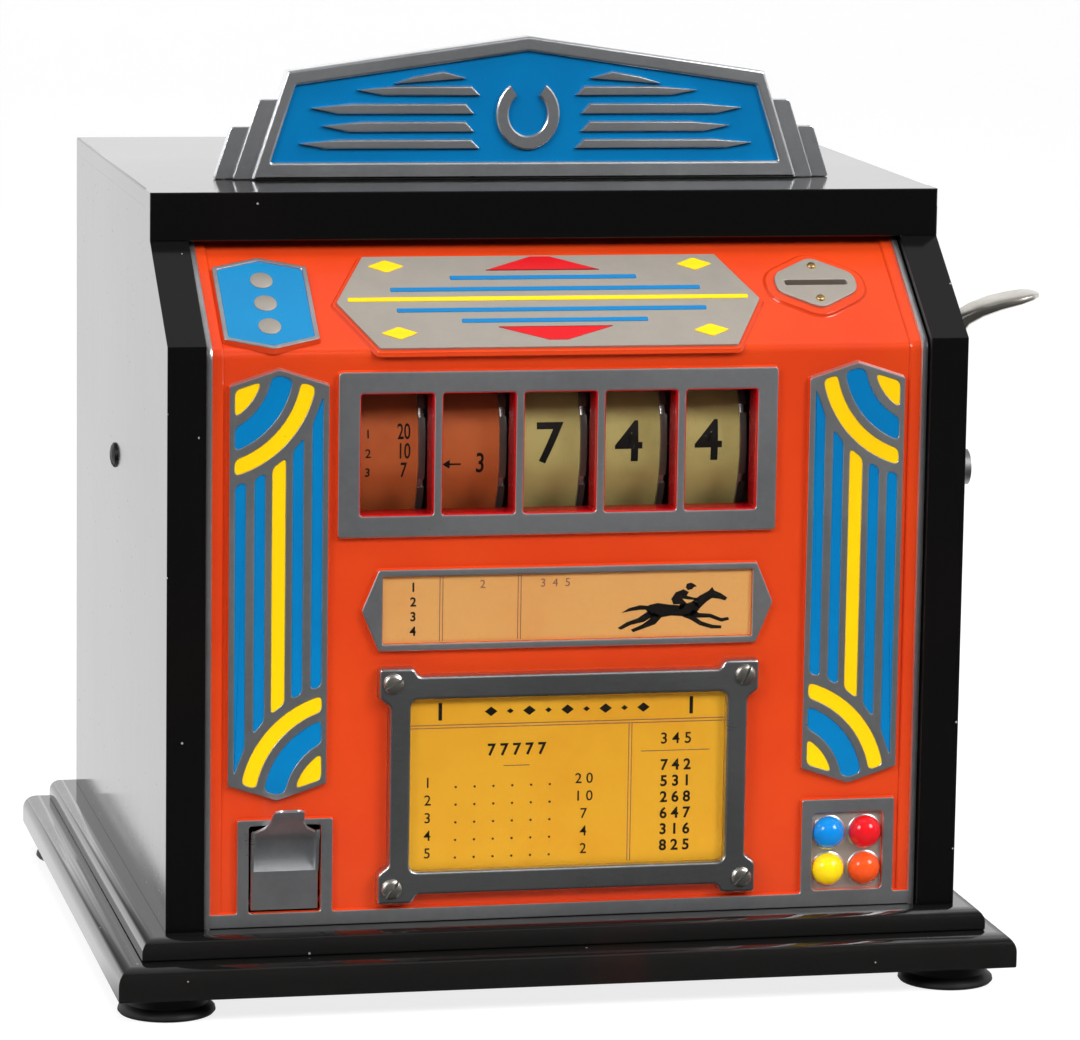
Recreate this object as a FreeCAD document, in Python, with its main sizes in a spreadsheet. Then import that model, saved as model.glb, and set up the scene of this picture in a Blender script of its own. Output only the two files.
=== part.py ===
import FreeCAD, Part
import math
import os
import Sketcher

# Countertop reel game of the 1930s: a lacquered case, a cast front, five reels and a side lever.
# Millimetres. X is to the right seen from the front, Y goes to the back and Z is up.
# The origin is on the table, under the middle of the case.

Vector = FreeCAD.Vector
Rotation = FreeCAD.Rotation
doc = FreeCAD.newDocument("ReelGame")
sheet = doc.addObject("Spreadsheet::Sheet", "Dims")

DRIVING = [
    ("cabinet_width", 274), ("cabinet_depth", 240), ("panel_wall", 13), ("lid_wall", 6),
    ("front_rise", 197.4), ("slope_angle", 54.8), ("slope_length", 52.1), ("header_tall", 16.5),
    ("foot_tall", 9), ("foot_radius", 16.5), ("foot_inset", 1), ("foot_back", 4),
    ("base_lower_tall", 11.5), ("base_upper_tall", 7.5), ("base_lower_out", 18), ("base_upper_out", 9),
    ("screw_radius", 2), ("screw_head", 4.5), ("screw_dome", 1.7),
    ("door_wall", 10), ("door_gap", 0.6), ("hinge_radius", 2.9), ("hinge_leaf", 1.2),
    ("hinge_tall", 36), ("hinge_pin", 1.5), ("lock_radius", 8), ("lock_plug", 4.5), ("lock_reach", 29),
    ("slip", 0.3), ("turning_gap", 0.06),
    ("face_depth", 3), ("field_depth", 5), ("casting_wall", 3), ("rim_wide", 2.2), ("bottom_rim", 4.8),
    ("shoulder_wide", 5.5), ("art_shift", -4), ("reel_pitch", 27.8), ("window_wide", 25.2),
    ("window_tall", 41.5), ("window_deep", 8), ("reel_frame_wide", 150.6), ("reel_frame_tall", 55.8),
    ("reel_height", 188), ("glass_wall", 2), ("pilaster_at", 99.2), ("pilaster_wide", 33.4),
    ("pilaster_tall", 145.6), ("pilaster_peak", 5.4), ("pilaster_height", 144.3), ("enamel_deep", 0.8),
    ("enamel_inset", 1.8), ("arc_out", 25), ("arc_up", 73.8), ("strip_frame_wide", 130.4),
    ("strip_frame_tall", 27.6), ("strip_point", 5.8), ("strip_height", 135.2), ("strip_card_wide", 127.6),
    ("strip_card_tall", 23), ("paper", 0.3), ("clear_wall", 0.5), ("card_shift", 0.6),
    ("card_frame_wide", 123.6), ("card_gap", 6.2), ("card_ear_out", 3.7), ("card_ear_up", 2.4),
    ("card_ear", 11.4), ("card_foot_gap", 2.6), ("card_bar", 7), ("card_frame_wall", 4.2),
    ("gum_frame_wide", 32.4), ("gum_frame_tall", 36.4), ("gum_door_at", -96.3), ("gum_door_wide", 24.2),
    ("gum_door_tall", 29.8), ("gum_door_low", 33), ("emblem_at", 99.4), ("emblem_wide", 25),
    ("emblem_tall", 27.4), ("emblem_low", 33.8), ("dome_radius", 5.6), ("dome_pitch", 12.8),
    ("shield_at", -101), ("shield_wide", 32), ("shield_tall", 44.8), ("shield_peak", 4.5),
    ("plate_wide", 146), ("plate_tall", 45.4), ("plate_point", 11.8), ("plate_along", 24.4),
    ("plate_wall", 1), ("coin_at", 90.2), ("coin_along", 32.3), ("coin_plate_wide", 28),
    ("coin_plate_tall", 24.6), ("coin_slot_wide", 21.7), ("coin_slot_tall", 2.4), ("coin_boss", 4.5),
    ("marquee_back", 39), ("marquee_wide", 218.6), ("marquee_tall", 49.5), ("marquee_wall", 7),
    ("marquee_step", 6.4), ("marquee_lean", 0.33), ("marquee_recess", 1.6),
    ("works_wide", 147), ("works_plate", 2.5), ("works_shift", -1.7), ("reel_radius", 37.6),
    ("index_radius", 38.8), ("reel_shaft_radius", 3), ("reel_wide", 21.5), ("reel_gap", 2.2),
    ("lever_back", 57), ("lever_height", 172), ("lever_shaft_radius", 4), ("lever_pull", 65),
    ("lever_thick", 7), ("lever_top", 62.5), ("lever_pad_out", 41.3), ("lever_pad_wide", 20),
    ("crank_reach", 14), ("gear_teeth", 26), ("gear_radius", 26), ("gear_wall", 2.4),
    ("gear_line", 40), ("finger_back", 104), ("finger_height", 214), ("rod_radius", 3),
    ("rear_rod_back", 130.3), ("rear_rod_height", 169.8),
    ("wheel_back", 40), ("wheel_height", 68), ("wheel_radius", 23), ("wheel_wall", 12),
    ("ball_hole", 7), ("chute_clear", 10), ("tin_wall", 1.2), ("hopper_low", 74), ("hopper_tall", 76), ("hopper_deep", 56),
    ("chute_wide", 18), ("coin_gap", 2.6), ("cash_wide", 42), ("cash_deep", 58), ("cash_tall", 66),
]


class Size:
    """A size that knows its number and the sheet formula it comes from."""

    def __init__(self, number, formula):
        self.number = float(number)
        self.formula = formula

    def __add__(self, other):
        other = as_size(other)
        return Size(self.number + other.number, "(%s + %s)" % (self.formula, other.formula))

    def __radd__(self, other):
        return as_size(other) + self

    def __sub__(self, other):
        other = as_size(other)
        return Size(self.number - other.number, "(%s - %s)" % (self.formula, other.formula))

    def __rsub__(self, other):
        return as_size(other) - self

    def __mul__(self, other):
        other = as_size(other)
        return Size(self.number * other.number, "(%s * %s)" % (self.formula, other.formula))

    def __rmul__(self, other):
        return as_size(other) * self

    def __truediv__(self, other):
        other = as_size(other)
        return Size(self.number / other.number, "(%s / %s)" % (self.formula, other.formula))

    def __neg__(self):
        return as_size(0) - self

    def sin(self):
        return Size(math.sin(math.radians(self.number)), "sin(%s)" % self.formula)

    def cos(self):
        return Size(math.cos(math.radians(self.number)), "cos(%s)" % self.formula)

    def tan(self):
        return Size(math.tan(math.radians(self.number)), "tan(%s)" % self.formula)


def as_size(value):
    """A plain number as a size."""
    return value if isinstance(value, Size) else Size(value, repr(float(value)))


class Dimensions:
    """The driving dimensions by name."""

    def __init__(self, rows):
        for line, (alias, number) in enumerate(rows, start=1):
            sheet.set("A%d" % line, alias)
            sheet.set("B%d" % line, str(number))
            sheet.setAlias("B%d" % line, alias)
            setattr(self, alias, Size(number, "Dims." + alias))


dim = Dimensions(DRIVING)
doc.recompute()

# Heights and depths of the case that the other pieces are set out from
front = -dim.cabinet_depth / 2
rear = dim.cabinet_depth / 2
side = dim.cabinet_width / 2
inner = side - dim.panel_wall
base_under = dim.foot_tall
board_top = dim.foot_tall + dim.base_lower_tall + dim.base_upper_tall
break_height = board_top + dim.front_rise
slope_run = dim.slope_length * dim.slope_angle.sin()
slope_rise = dim.slope_length * dim.slope_angle.cos()
header_front = front + slope_run
header_under = break_height + slope_rise
case_top = header_under + dim.header_tall
lid_under = case_top - dim.lid_wall
reel_middle = dim.art_shift + 0.2
reel_back = front + dim.face_depth + dim.window_deep + dim.glass_wall + dim.slip * 7 + dim.index_radius
lever_back = front + dim.lever_back
works_left = dim.works_shift - dim.works_wide / 2 - dim.works_plate
works_right = dim.works_shift + dim.works_wide / 2
card_top = dim.strip_height - dim.strip_frame_tall / 2 - dim.card_gap - dim.card_ear_up
card_low = board_top + dim.bottom_rim + dim.card_foot_gap + dim.card_ear_up
card_frame_tall = card_top - card_low
card_height = (card_top + card_low) / 2

nodes = []


def bind(thing, name, size):
    """Tie one property of an object to the sheet."""
    thing.setExpression(name, as_size(size).formula)


def node(thing, label):
    """Name a finished piece."""
    thing.Label = label
    nodes.append(thing)
    return thing


def block(name, x, y, z):
    """A rectangular piece between two places on each axis."""
    box = doc.addObject("Part::Box", name)
    for edge, axis, (low, high) in zip(("Length", "Width", "Height"), "xyz", (x, y, z)):
        bind(box, edge, as_size(high) - low)
        bind(box, "Placement.Base." + axis, low)
    return box


TURNS = {"x": Rotation(Vector(0, 1, 0), 90), "y": Rotation(Vector(-1, 0, 0), 90), "z": Rotation()}


def rod(name, axis, radius, low, high, centre):
    """A round bar along an axis, with its centre on the other two."""
    bar = doc.addObject("Part::Cylinder", name)
    bar.Placement = FreeCAD.Placement(Vector(), TURNS[axis])
    bind(bar, "Radius", radius)
    bind(bar, "Height", as_size(high) - low)
    bind(bar, "Placement.Base." + axis, low)
    for other, place in zip("xyz".replace(axis, ""), centre):
        bind(bar, "Placement.Base." + other, place)
    return bar


def join(name, pieces):
    """One solid made of touching pieces."""
    whole = doc.addObject("Part::MultiFuse", name)
    whole.Shapes = pieces
    return whole


def cut(name, whole, tool):
    """A piece with another taken out of it."""
    left = doc.addObject("Part::Cut", name)
    left.Base = whole
    left.Tool = tool
    return left


def group(name, pieces):
    """Separate solids that share one name."""
    together = doc.addObject("Part::Compound", name)
    together.Links = pieces
    return together


def new_body(name):
    """An empty body."""
    body = doc.addObject("PartDesign::Body", name)
    body.AllowCompound = True
    return body


def sketch_at(body, name, plane, offset):
    """A sketch parallel to one of the body's own planes. XZ looks to the front."""
    sketch = body.newObject("Sketcher::SketchObject", name)
    origin_plane = [item for item in body.Origin.OriginFeatures if item.Role == plane + "_Plane"][0]
    sketch.AttachmentSupport = [(origin_plane, "")]
    sketch.MapMode = "FlatFace"
    bind(sketch, ".AttachmentOffset.Base.z", offset)
    return sketch


def front_sketch(body, name, depth):
    """A sketch on the upright front, at a depth behind the case's front edges."""
    return sketch_at(body, name, "XZ", -front - depth)


def slope_sketch(body, name, depth):
    """A sketch on the sloped front, up from the break, at a depth behind the case's edges."""
    sketch = sketch_at(body, name, "XZ", 0)
    sketch.AttachmentOffset = FreeCAD.Placement(Vector(), Rotation(Vector(-1, 0, 0), 10))
    bind(sketch, ".AttachmentOffset.Rotation.Angle", dim.slope_angle)
    bind(sketch, ".AttachmentOffset.Base.y", break_height - depth * dim.slope_angle.sin())
    bind(sketch, ".AttachmentOffset.Base.z", -front - depth * dim.slope_angle.cos())
    return sketch


def outline(sketch, points):
    """A closed outline of straight lines through the points."""
    places = [(as_size(x), as_size(y)) for x, y in points]
    first = sketch.GeometryCount
    count = len(places)
    for index, (x, y) in enumerate(places):
        ahead = places[(index + 1) % count]
        line = Part.LineSegment(Vector(x.number, y.number, 0), Vector(ahead[0].number, ahead[1].number, 0))
        sketch.addGeometry(line, False)
    for index in range(count):
        following = first + (index + 1) % count
        sketch.addConstraint(Sketcher.Constraint("Coincident", first + index, 2, following, 1))
    for index, (x, y) in enumerate(places):
        for kind, size in (("DistanceX", x), ("DistanceY", y)):
            rule = Sketcher.Constraint(kind, -1, 1, first + index, 1, size.number)
            bind(sketch, "Constraints[%d]" % sketch.addConstraint(rule), size)


def rectangle(sketch, left, right, low, high):
    """A rectangle between two places each way."""
    outline(sketch, [(left, low), (right, low), (right, high), (left, high)])


def circle(sketch, x, y, radius):
    """A circle about a place."""
    x, y, radius = as_size(x), as_size(y), as_size(radius)
    ring = Part.Circle(Vector(x.number, y.number, 0), Vector(0, 0, 1), radius.number)
    index = sketch.addGeometry(ring, False)
    for kind, size in (("DistanceX", x), ("DistanceY", y)):
        rule = Sketcher.Constraint(kind, -1, 1, index, 3, size.number)
        bind(sketch, "Constraints[%d]" % sketch.addConstraint(rule), size)
    rule = Sketcher.Constraint("Radius", index, radius.number)
    bind(sketch, "Constraints[%d]" % sketch.addConstraint(rule), radius)


def feature(body, kind, sketch, length, backwards=False):
    """A pad or pocket of a sketch."""
    made = body.newObject("PartDesign::" + kind, sketch.Name + kind)
    made.Profile = (sketch, [])
    made.Reversed = backwards
    bind(made, "Length", length)
    return made


def pad(body, sketch, length, backwards=False):
    """Material added from a sketch."""
    return feature(body, "Pad", sketch, length, backwards)


def pocket(body, sketch, length, backwards=False):
    """Material taken away behind a sketch."""
    return feature(body, "Pocket", sketch, length, backwards)


def repeated(body, name, opened, offset, centre, count):
    """Copies of an opening, evenly round an axis parallel to X."""
    axis = sketch_at(body, name + "_axis", "YZ", offset)
    bind(axis, ".AttachmentOffset.Base.x", centre[0])
    bind(axis, ".AttachmentOffset.Base.y", centre[1])
    circle(axis, 0, 0, 1)
    ring = body.newObject("PartDesign::PolarPattern", name + "_ring")
    ring.Originals = [opened]
    ring.Axis = (axis, ["N_Axis"])
    ring.Angle = 360
    ring.Occurrences = count
    body.Tip = ring


def flat_hexagon(middle, height, half_wide, half_tall, point):
    """Corners of a six-sided plate with a point at the left and right."""
    return [(middle - half_wide, height), (middle - half_wide + point, height - half_tall),
            (middle + half_wide - point, height - half_tall), (middle + half_wide, height),
            (middle + half_wide - point, height + half_tall), (middle - half_wide + point, height + half_tall)]


def tall_hexagon(middle, height, half_wide, half_tall, peak):
    """Corners of a six-sided plate with a point at the top and bottom."""
    return [(middle, height - half_tall), (middle + half_wide, height - half_tall + peak),
            (middle + half_wide, height + half_tall - peak), (middle, height + half_tall),
            (middle - half_wide, height + half_tall - peak), (middle - half_wide, height - half_tall + peak)]


def base_boards():
    """Two stacked boards with rounded edges under the case."""
    for label, low, tall, out, nose in (
            ("base_lower_board", base_under, dim.base_lower_tall, dim.base_lower_out, 0.5),
            ("base_upper_board", base_under + dim.base_lower_tall, dim.base_upper_tall, dim.base_upper_out, 0.6)):
        body = new_body(label)
        plan = sketch_at(body, label + "_plan", "XY", low)
        rectangle(plan, -side - out, side + out, front - out, rear + out)
        board = pad(body, plan, tall)
        doc.recompute()
        top_edges = [name for name, edge in edge_names(board) if edge.BoundBox.ZMin > (low + tall).number - 0.01]
        rounding = body.newObject("PartDesign::Fillet", label + "_nose")
        rounding.Base = (board, top_edges)
        bind(rounding, "Radius", tall * nose)
        node(body, label)


def edge_names(made):
    """The edges of a feature with their names."""
    return [("Edge%d" % number, edge) for number, edge in enumerate(made.Shape.Edges, start=1)]


def feet():
    """Four black rubber feet under the corners of the case."""
    body = new_body("rubber_feet")
    across = side - dim.foot_inset
    places = [(x, y) for x in (-across, across) for y in (front + dim.foot_back, rear - dim.foot_back)]
    flange = sketch_at(body, "foot_flange", "XY", 0)
    neck = sketch_at(body, "foot_neck", "XY", dim.foot_tall * 0.4)
    recess = sketch_at(body, "foot_recess", "XY", 0)
    bore = sketch_at(body, "foot_bore", "XY", dim.foot_tall * 0.5)
    for x, y in places:
        circle(flange, x, y, dim.foot_radius)
        circle(neck, x, y, dim.foot_radius * 0.84)
        circle(recess, x, y, dim.screw_head + dim.slip)
        circle(bore, x, y, dim.screw_radius + dim.slip)
    pad(body, flange, dim.foot_tall * 0.4)
    pad(body, neck, dim.foot_tall * 0.6)
    pocket(body, recess, dim.foot_tall * 0.5, backwards=True)
    pocket(body, bore, dim.foot_tall * 0.5, backwards=True)
    node(body, "rubber_feet")
    return places


def wood_screw(name, axis, head_at, towards, length, centre):
    """A round-headed wood screw whose head lies on a face and whose shank goes in."""
    lows = (head_at, head_at + length) if towards > 0 else (head_at - length, head_at)
    shank = rod(name + "_shank", axis, dim.screw_radius, lows[0], lows[1], centre)
    if towards > 0:
        head = rod(name + "_head", axis, dim.screw_head, head_at - dim.screw_dome, head_at, centre)
    else:
        head = rod(name + "_head", axis, dim.screw_head, head_at, head_at + dim.screw_dome, centre)
    return join(name, [shank, head])


def wood_screws(foot_places):
    """Screws that hold the feet, the rear cross rod, the sign's lugs and the works' flanges."""
    screws = []
    for index, (x, y) in enumerate(foot_places):
        screws.append(wood_screw("foot_screw_%d" % index, "z", dim.foot_tall * 0.5, 1, as_size(13), (x, y)))
    rod_centre = (front + dim.rear_rod_back, dim.rear_rod_height)
    screws.append(wood_screw("side_screw_left", "x", -side, 1, dim.panel_wall + 8, rod_centre))
    screws.append(wood_screw("side_screw_right", "x", side, -1, dim.panel_wall + 8, rod_centre))
    for name, x in (("sign_screw_left", -lug_across), ("sign_screw_right", lug_across)):
        place = (x, sign_back + lug_deep / 2)
        screws.append(wood_screw(name, "z", case_top + lug_wall, -1, lug_wall + dim.lid_wall - 1, place))
    for name, x in (("works_screw_left", works_left - flange_wide / 2),
                    ("works_screw_right", works_right + dim.works_plate + flange_wide / 2)):
        place = (x, front + 120)
        screws.append(wood_screw(name, "z", board_top + dim.works_plate, -1, as_size(14), place))
    node(group("wood_screws", screws), "wood_screws")


# The sign stands on two lugs and the works on two flanges
lug_across = as_size(64)
lug_deep = as_size(16)
lug_wall = as_size(3.5)
sign_back = header_front + dim.marquee_back + dim.marquee_wall
flange_wide = as_size(14)


def side_panels():
    """Two lacquered boards cut to the case's profile."""
    profile = [(front, board_top), (rear, board_top), (rear, lid_under), (header_front, lid_under),
               (header_front, header_under), (front, break_height)]
    rod_centre = (front + dim.rear_rod_back, dim.rear_rod_height)
    for label, low in (("side_panel_left", -side), ("side_panel_right", inner)):
        body = new_body(label)
        board = sketch_at(body, label + "_board", "YZ", low)
        outline(board, profile)
        pad(body, board, dim.panel_wall)
        holes = sketch_at(body, label + "_holes", "YZ", low)
        circle(holes, rod_centre[0], rod_centre[1], dim.screw_radius + dim.slip / 3)
        if label == "side_panel_right":
            circle(holes, lever_back, dim.lever_height, dim.lever_shaft_radius + 3 + dim.slip / 3)
        pocket(body, holes, dim.panel_wall, backwards=True)
        if label == "side_panel_left":
            keep = sketch_at(body, label + "_keep", "YZ", -inner)
            rectangle(keep, rear - dim.door_wall - 5, rear - dim.door_wall + 0.5,
                      lock_height - 22, lock_height + dim.lock_plug + 1)
            pocket(body, keep, as_size(7))
        node(body, label)


# Height and place of the lock on the back door
lock_height = as_size(150)
lock_across = -inner + 24


def top_boards():
    """The lid and the rail above the front."""
    node(block("top_board", (-side, side), (header_front, rear), (lid_under, case_top)), "top_board")
    node(block("header_rail", (-inner, inner), (header_front, header_front + 12),
               (header_under, lid_under)), "header_rail")


def back_door():
    """A panel between the sides that opens on two butt hinges at the right."""
    body = new_body("back_door")
    panel = sketch_at(body, "door_panel", "XZ", -rear)
    rectangle(panel, -inner + dim.door_gap, inner - dim.door_gap, board_top + dim.door_gap,
              lid_under - dim.door_gap)
    pad(body, panel, dim.door_wall)
    bore = sketch_at(body, "door_lock_bore", "XZ", -rear)
    circle(bore, lock_across, lock_height, dim.lock_radius + dim.slip / 3)
    pocket(body, bore, dim.door_wall, backwards=True)
    node(body, "back_door")


def door_lock():
    """A barrel lock through the door, and the cam that turns behind the left side."""
    centre = (lock_across, lock_height)
    inside = rear - dim.door_wall
    barrel = rod("lock_barrel", "y", dim.lock_radius, inside, rear, centre)
    flange = rod("lock_flange", "y", dim.lock_radius + 2.5, rear, rear + 1.5, centre)
    bore = rod("lock_bore", "y", dim.lock_plug + dim.turning_gap, inside - 1, rear + 3, centre)
    node(cut("door_lock", join("lock_shell", [barrel, flange]), bore), "door_lock")
    plug = rod("cam_plug", "y", dim.lock_plug, inside - 3, rear + 1.2, centre)
    arm = block("cam_arm", (lock_across - dim.lock_plug, lock_across + dim.lock_plug),
                (inside - 2.8, inside - 0.8), (lock_height - dim.lock_reach, lock_height))
    key_slot = block("cam_key_slot", (lock_across - 0.6, lock_across + 0.6), (rear - 4, rear + 2),
                     (lock_height - 2.6, lock_height + 2.6))
    node(cut("lock_cam", join("cam_whole", [plug, arm]), key_slot), "lock_cam")


hinge_across = inner - 0.4
hinge_back = rear + dim.hinge_radius


def door_hinges():
    """Butt hinges on the rear edges: outer knuckles and pin on the case, middle one on the door."""
    fixed = []
    moving = []
    third = dim.hinge_tall / 3
    for index, low in enumerate((board_top + 20, lid_under - 20 - dim.hinge_tall)):
        leaf_low, leaf_high = low, low + dim.hinge_tall
        name = "hinge_%d_" % index
        centre = (hinge_across, hinge_back)
        ends = [(leaf_low, leaf_low + third), (leaf_high - third, leaf_high)]
        pieces = [block(name + "leaf", (inner + 4, side - 1.5), (rear, rear + dim.hinge_leaf),
                        (leaf_low, leaf_high))]
        for side_number, (start, stop) in enumerate(ends):
            pieces.append(rod(name + "knuckle_%d" % side_number, "z", dim.hinge_radius, start, stop, centre))
            pieces.append(block(name + "tongue_%d" % side_number, (inner + 1, inner + 4),
                                (rear, rear + dim.hinge_leaf), (start, stop)))
        pieces.append(rod(name + "pin", "z", dim.hinge_pin, leaf_low, leaf_high, centre))
        fixed.append(join(name + "fixed", pieces))
        start, stop = leaf_low + third + dim.slip, leaf_high - third - dim.slip
        knuckle = rod(name + "middle", "z", dim.hinge_radius, start, stop, centre)
        leaf = block(name + "door_leaf", (inner - 20, inner - 4), (rear, rear + dim.hinge_leaf),
                     (leaf_low, leaf_high))
        tongue = block(name + "door_tongue", (inner - 4, inner - 1), (rear, rear + dim.hinge_leaf),
                       (start, stop))
        bore = rod(name + "bore", "z", dim.hinge_pin + dim.turning_gap, leaf_low, leaf_high, centre)
        moving.append(cut(name + "moving", join(name + "solid", [knuckle, leaf, tongue]), bore))
    node(group("door_hinge_fixed", fixed), "door_hinge_fixed")
    node(group("door_hinge_moving", moving), "door_hinge_moving")


def front_profile(depth):
    """The line of the front at a depth behind the case's edges: bottom, break and top."""
    half_bend = (dim.slope_angle / 2).tan()
    low = (front + depth, board_top)
    bend = (front + depth, break_height - depth * half_bend)
    climb = (header_under - dim.slip - bend[1]) / dim.slope_angle.cos()
    top = (front + depth + climb * dim.slope_angle.sin(), header_under - dim.slip)
    return low, bend, top


def front_casting():
    """The cast front: one bent sheet with raised rims, frames, pilasters and emblem."""
    body = new_body("casting_blank")
    edge = inner - dim.slip
    outer = front_profile(dim.field_depth)
    hidden = front_profile(dim.field_depth + dim.casting_wall)
    sheet_side = sketch_at(body, "casting_sheet", "YZ", -edge)
    outline(sheet_side, [outer[0], hidden[0], hidden[1], hidden[2], outer[2], outer[1]])
    pad(body, sheet_side, edge * 2)
    casting_rims(body, edge)
    casting_frames(body)
    casting_slope(body)
    casting_openings(body)
    doc.recompute()
    grooves = enamel_grooves()
    domes = group("emblem_domes", emblem_domes())
    dished = cut("casting_dished", body, grooves)
    bored = cut("casting_bored", dished, gum_pin(as_size(2.2), gum_pin_radius + dim.turning_gap))
    node(join("front_casting", [bored, domes]), "front_casting")


def casting_rims(body, edge):
    """Polished rims at both sides and the bottom, and the lower shoulders inside them."""
    for name, depth, wide in (("rim", dim.face_depth, dim.rim_wide),
                              ("shoulder", (dim.face_depth + dim.field_depth) / 2, dim.shoulder_wide)):
        raised = front_profile(depth)
        sunk = front_profile(dim.field_depth + 0.5)
        for hand, low in (("left", -edge), ("right", edge - wide)):
            strip = sketch_at(body, "%s_%s" % (name, hand), "YZ", low)
            outline(strip, [raised[0], sunk[0], sunk[1], sunk[2], raised[2], raised[1]])
            pad(body, strip, wide)
    bottom = front_sketch(body, "rim_bottom", dim.face_depth)
    rectangle(bottom, -edge, edge, board_top, board_top + dim.bottom_rim)
    pad(body, bottom, dim.field_depth - dim.face_depth + 0.5, backwards=True)


def casting_frames(body):
    """Raised frames on the upright front."""
    raised = dim.field_depth - dim.face_depth + 0.5
    plain = front_sketch(body, "frames", dim.face_depth)
    for middle in (-dim.pilaster_at, dim.pilaster_at):
        outline(plain, tall_hexagon(middle, dim.pilaster_height, dim.pilaster_wide / 2,
                                    dim.pilaster_tall / 2, dim.pilaster_peak))
    for middle in (dim.gum_door_at, dim.emblem_at):
        rectangle(plain, middle - dim.gum_frame_wide / 2, middle + dim.gum_frame_wide / 2,
                  board_top + dim.bottom_rim - 0.5, board_top + 1 + dim.gum_frame_tall)
    outline(plain, flat_hexagon(0, dim.strip_height, dim.strip_frame_wide / 2 + dim.strip_point,
                                dim.strip_frame_tall / 2, dim.strip_point))
    pad(body, plain, raised, backwards=True)
    reel_frame = front_sketch(body, "reel_frame", dim.face_depth)
    half_wide, half_tall = dim.reel_frame_wide / 2, dim.reel_frame_tall / 2
    rectangle(reel_frame, dim.art_shift - half_wide, dim.art_shift + half_wide,
              dim.reel_height - half_tall, dim.reel_height + half_tall)
    pad(body, reel_frame, dim.window_deep, backwards=True)


def casting_slope(body):
    """Raised pads on the slope for the shield, the striped plate and the coin plate."""
    boss = slope_sketch(body, "slope_bosses", dim.face_depth)
    outline(boss, tall_hexagon(dim.shield_at, dim.plate_along + 0.3, dim.shield_wide / 2,
                               dim.shield_tall / 2, dim.shield_peak))
    pad(body, boss, dim.field_depth - dim.face_depth + 0.5, backwards=True)
    low = slope_sketch(body, "slope_pads", dim.face_depth + dim.plate_wall)
    outline(low, flat_hexagon(dim.art_shift, dim.plate_along, dim.plate_wide / 2 + 1.6,
                              dim.plate_tall / 2 + 0.8, dim.plate_point))
    outline(low, tall_hexagon(dim.coin_at, dim.coin_along, dim.coin_plate_wide / 2 + dim.coin_boss * 0.8,
                              dim.coin_plate_tall / 2 + dim.coin_boss * 0.7, dim.coin_plate_tall / 4))
    pad(body, low, dim.field_depth - dim.face_depth, backwards=True)


def casting_openings(body):
    """Windows, the gum mouth, the recess for the strip and the coin's way in."""
    windows = front_sketch(body, "windows", dim.face_depth)
    for number in range(-2, 3):
        middle = reel_middle + dim.reel_pitch * number
        rectangle(windows, middle - dim.window_wide / 2, middle + dim.window_wide / 2,
                  dim.reel_height - dim.window_tall / 2, dim.reel_height + dim.window_tall / 2)
    opened = pocket(body, windows, dim.window_deep + 1)
    opened.TaperAngle = -6
    recess = front_sketch(body, "strip_recess", dim.face_depth)
    rectangle(recess, -dim.strip_card_wide / 2, dim.strip_card_wide / 2,
              dim.strip_height - dim.strip_card_tall / 2, dim.strip_height + dim.strip_card_tall / 2)
    pocket(body, recess, dim.field_depth - dim.face_depth)
    emblem = front_sketch(body, "emblem_field", dim.face_depth)
    rectangle(emblem, dim.emblem_at - dim.emblem_wide / 2, dim.emblem_at + dim.emblem_wide / 2,
              dim.emblem_low, dim.emblem_low + dim.emblem_tall)
    pocket(body, emblem, dim.field_depth - dim.face_depth - 0.3)
    mouth = front_sketch(body, "gum_mouth", dim.face_depth)
    rectangle(mouth, dim.gum_door_at - dim.gum_door_wide / 2, dim.gum_door_at + dim.gum_door_wide / 2,
              dim.gum_door_low, dim.gum_door_low + dim.gum_door_tall)
    pocket(body, mouth, dim.casting_wall + dim.field_depth)
    slot = slope_sketch(body, "coin_way", dim.face_depth)
    rectangle(slot, dim.coin_at - dim.coin_slot_wide / 2, dim.coin_at + dim.coin_slot_wide / 2,
              dim.coin_along - dim.coin_slot_tall / 2, dim.coin_along + dim.coin_slot_tall / 2)
    for along in (-coin_screw_along, coin_screw_along):
        circle(slot, dim.coin_at, dim.coin_along + along, coin_screw_radius + dim.turning_gap)
    pocket(body, slot, dim.casting_wall + dim.field_depth)
    screws = front_sketch(body, "card_screw_bores", dim.face_depth)
    for x, z in card_screw_places():
        circle(screws, x, z, card_screw_radius + dim.turning_gap)
    pocket(body, screws, dim.casting_wall + dim.field_depth)


coin_screw_along = as_size(8.2)
coin_screw_radius = as_size(1)
card_screw_radius = as_size(1.8)


def card_screw_places():
    """The four corners where the card frame is screwed on."""
    half_wide = dim.card_frame_wide / 2 + dim.card_ear_out - dim.card_ear / 2
    half_tall = card_frame_tall / 2 + dim.card_ear_up - dim.card_ear / 2 + 0.6
    return [(dim.card_shift + half_wide * x, card_height + half_tall * z) for x in (-1, 1) for z in (-1, 1)]


def emblem_domes():
    """Four half-round gumballs cast in the emblem at the lower right."""
    domes = []
    middle_height = dim.emblem_low + dim.emblem_tall / 2
    for x in (-1, 1):
        for z in (-1, 1):
            dome = doc.addObject("Part::Sphere", "dome_%d_%d" % (x + 1, z + 1))
            dome.Placement = FreeCAD.Placement(Vector(), Rotation(Vector(1, 0, 0), 90))
            dome.Angle1 = 0
            bind(dome, "Radius", dim.dome_radius)
            bind(dome, "Placement.Base.x", dim.emblem_at + dim.dome_pitch / 2 * x)
            bind(dome, "Placement.Base.y", front + dim.field_depth)
            bind(dome, "Placement.Base.z", middle_height + dim.dome_pitch / 2 * z)
            domes.append(dome)
    return domes


def prism(points, back, deep):
    """A solid of an outline in X and Z, from a depth towards the back."""
    wire = Part.makePolygon([Vector(x, back, z) for x, z in points + points[:1]])
    return Part.Face(wire).extrude(Vector(0, deep, 0))


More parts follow.
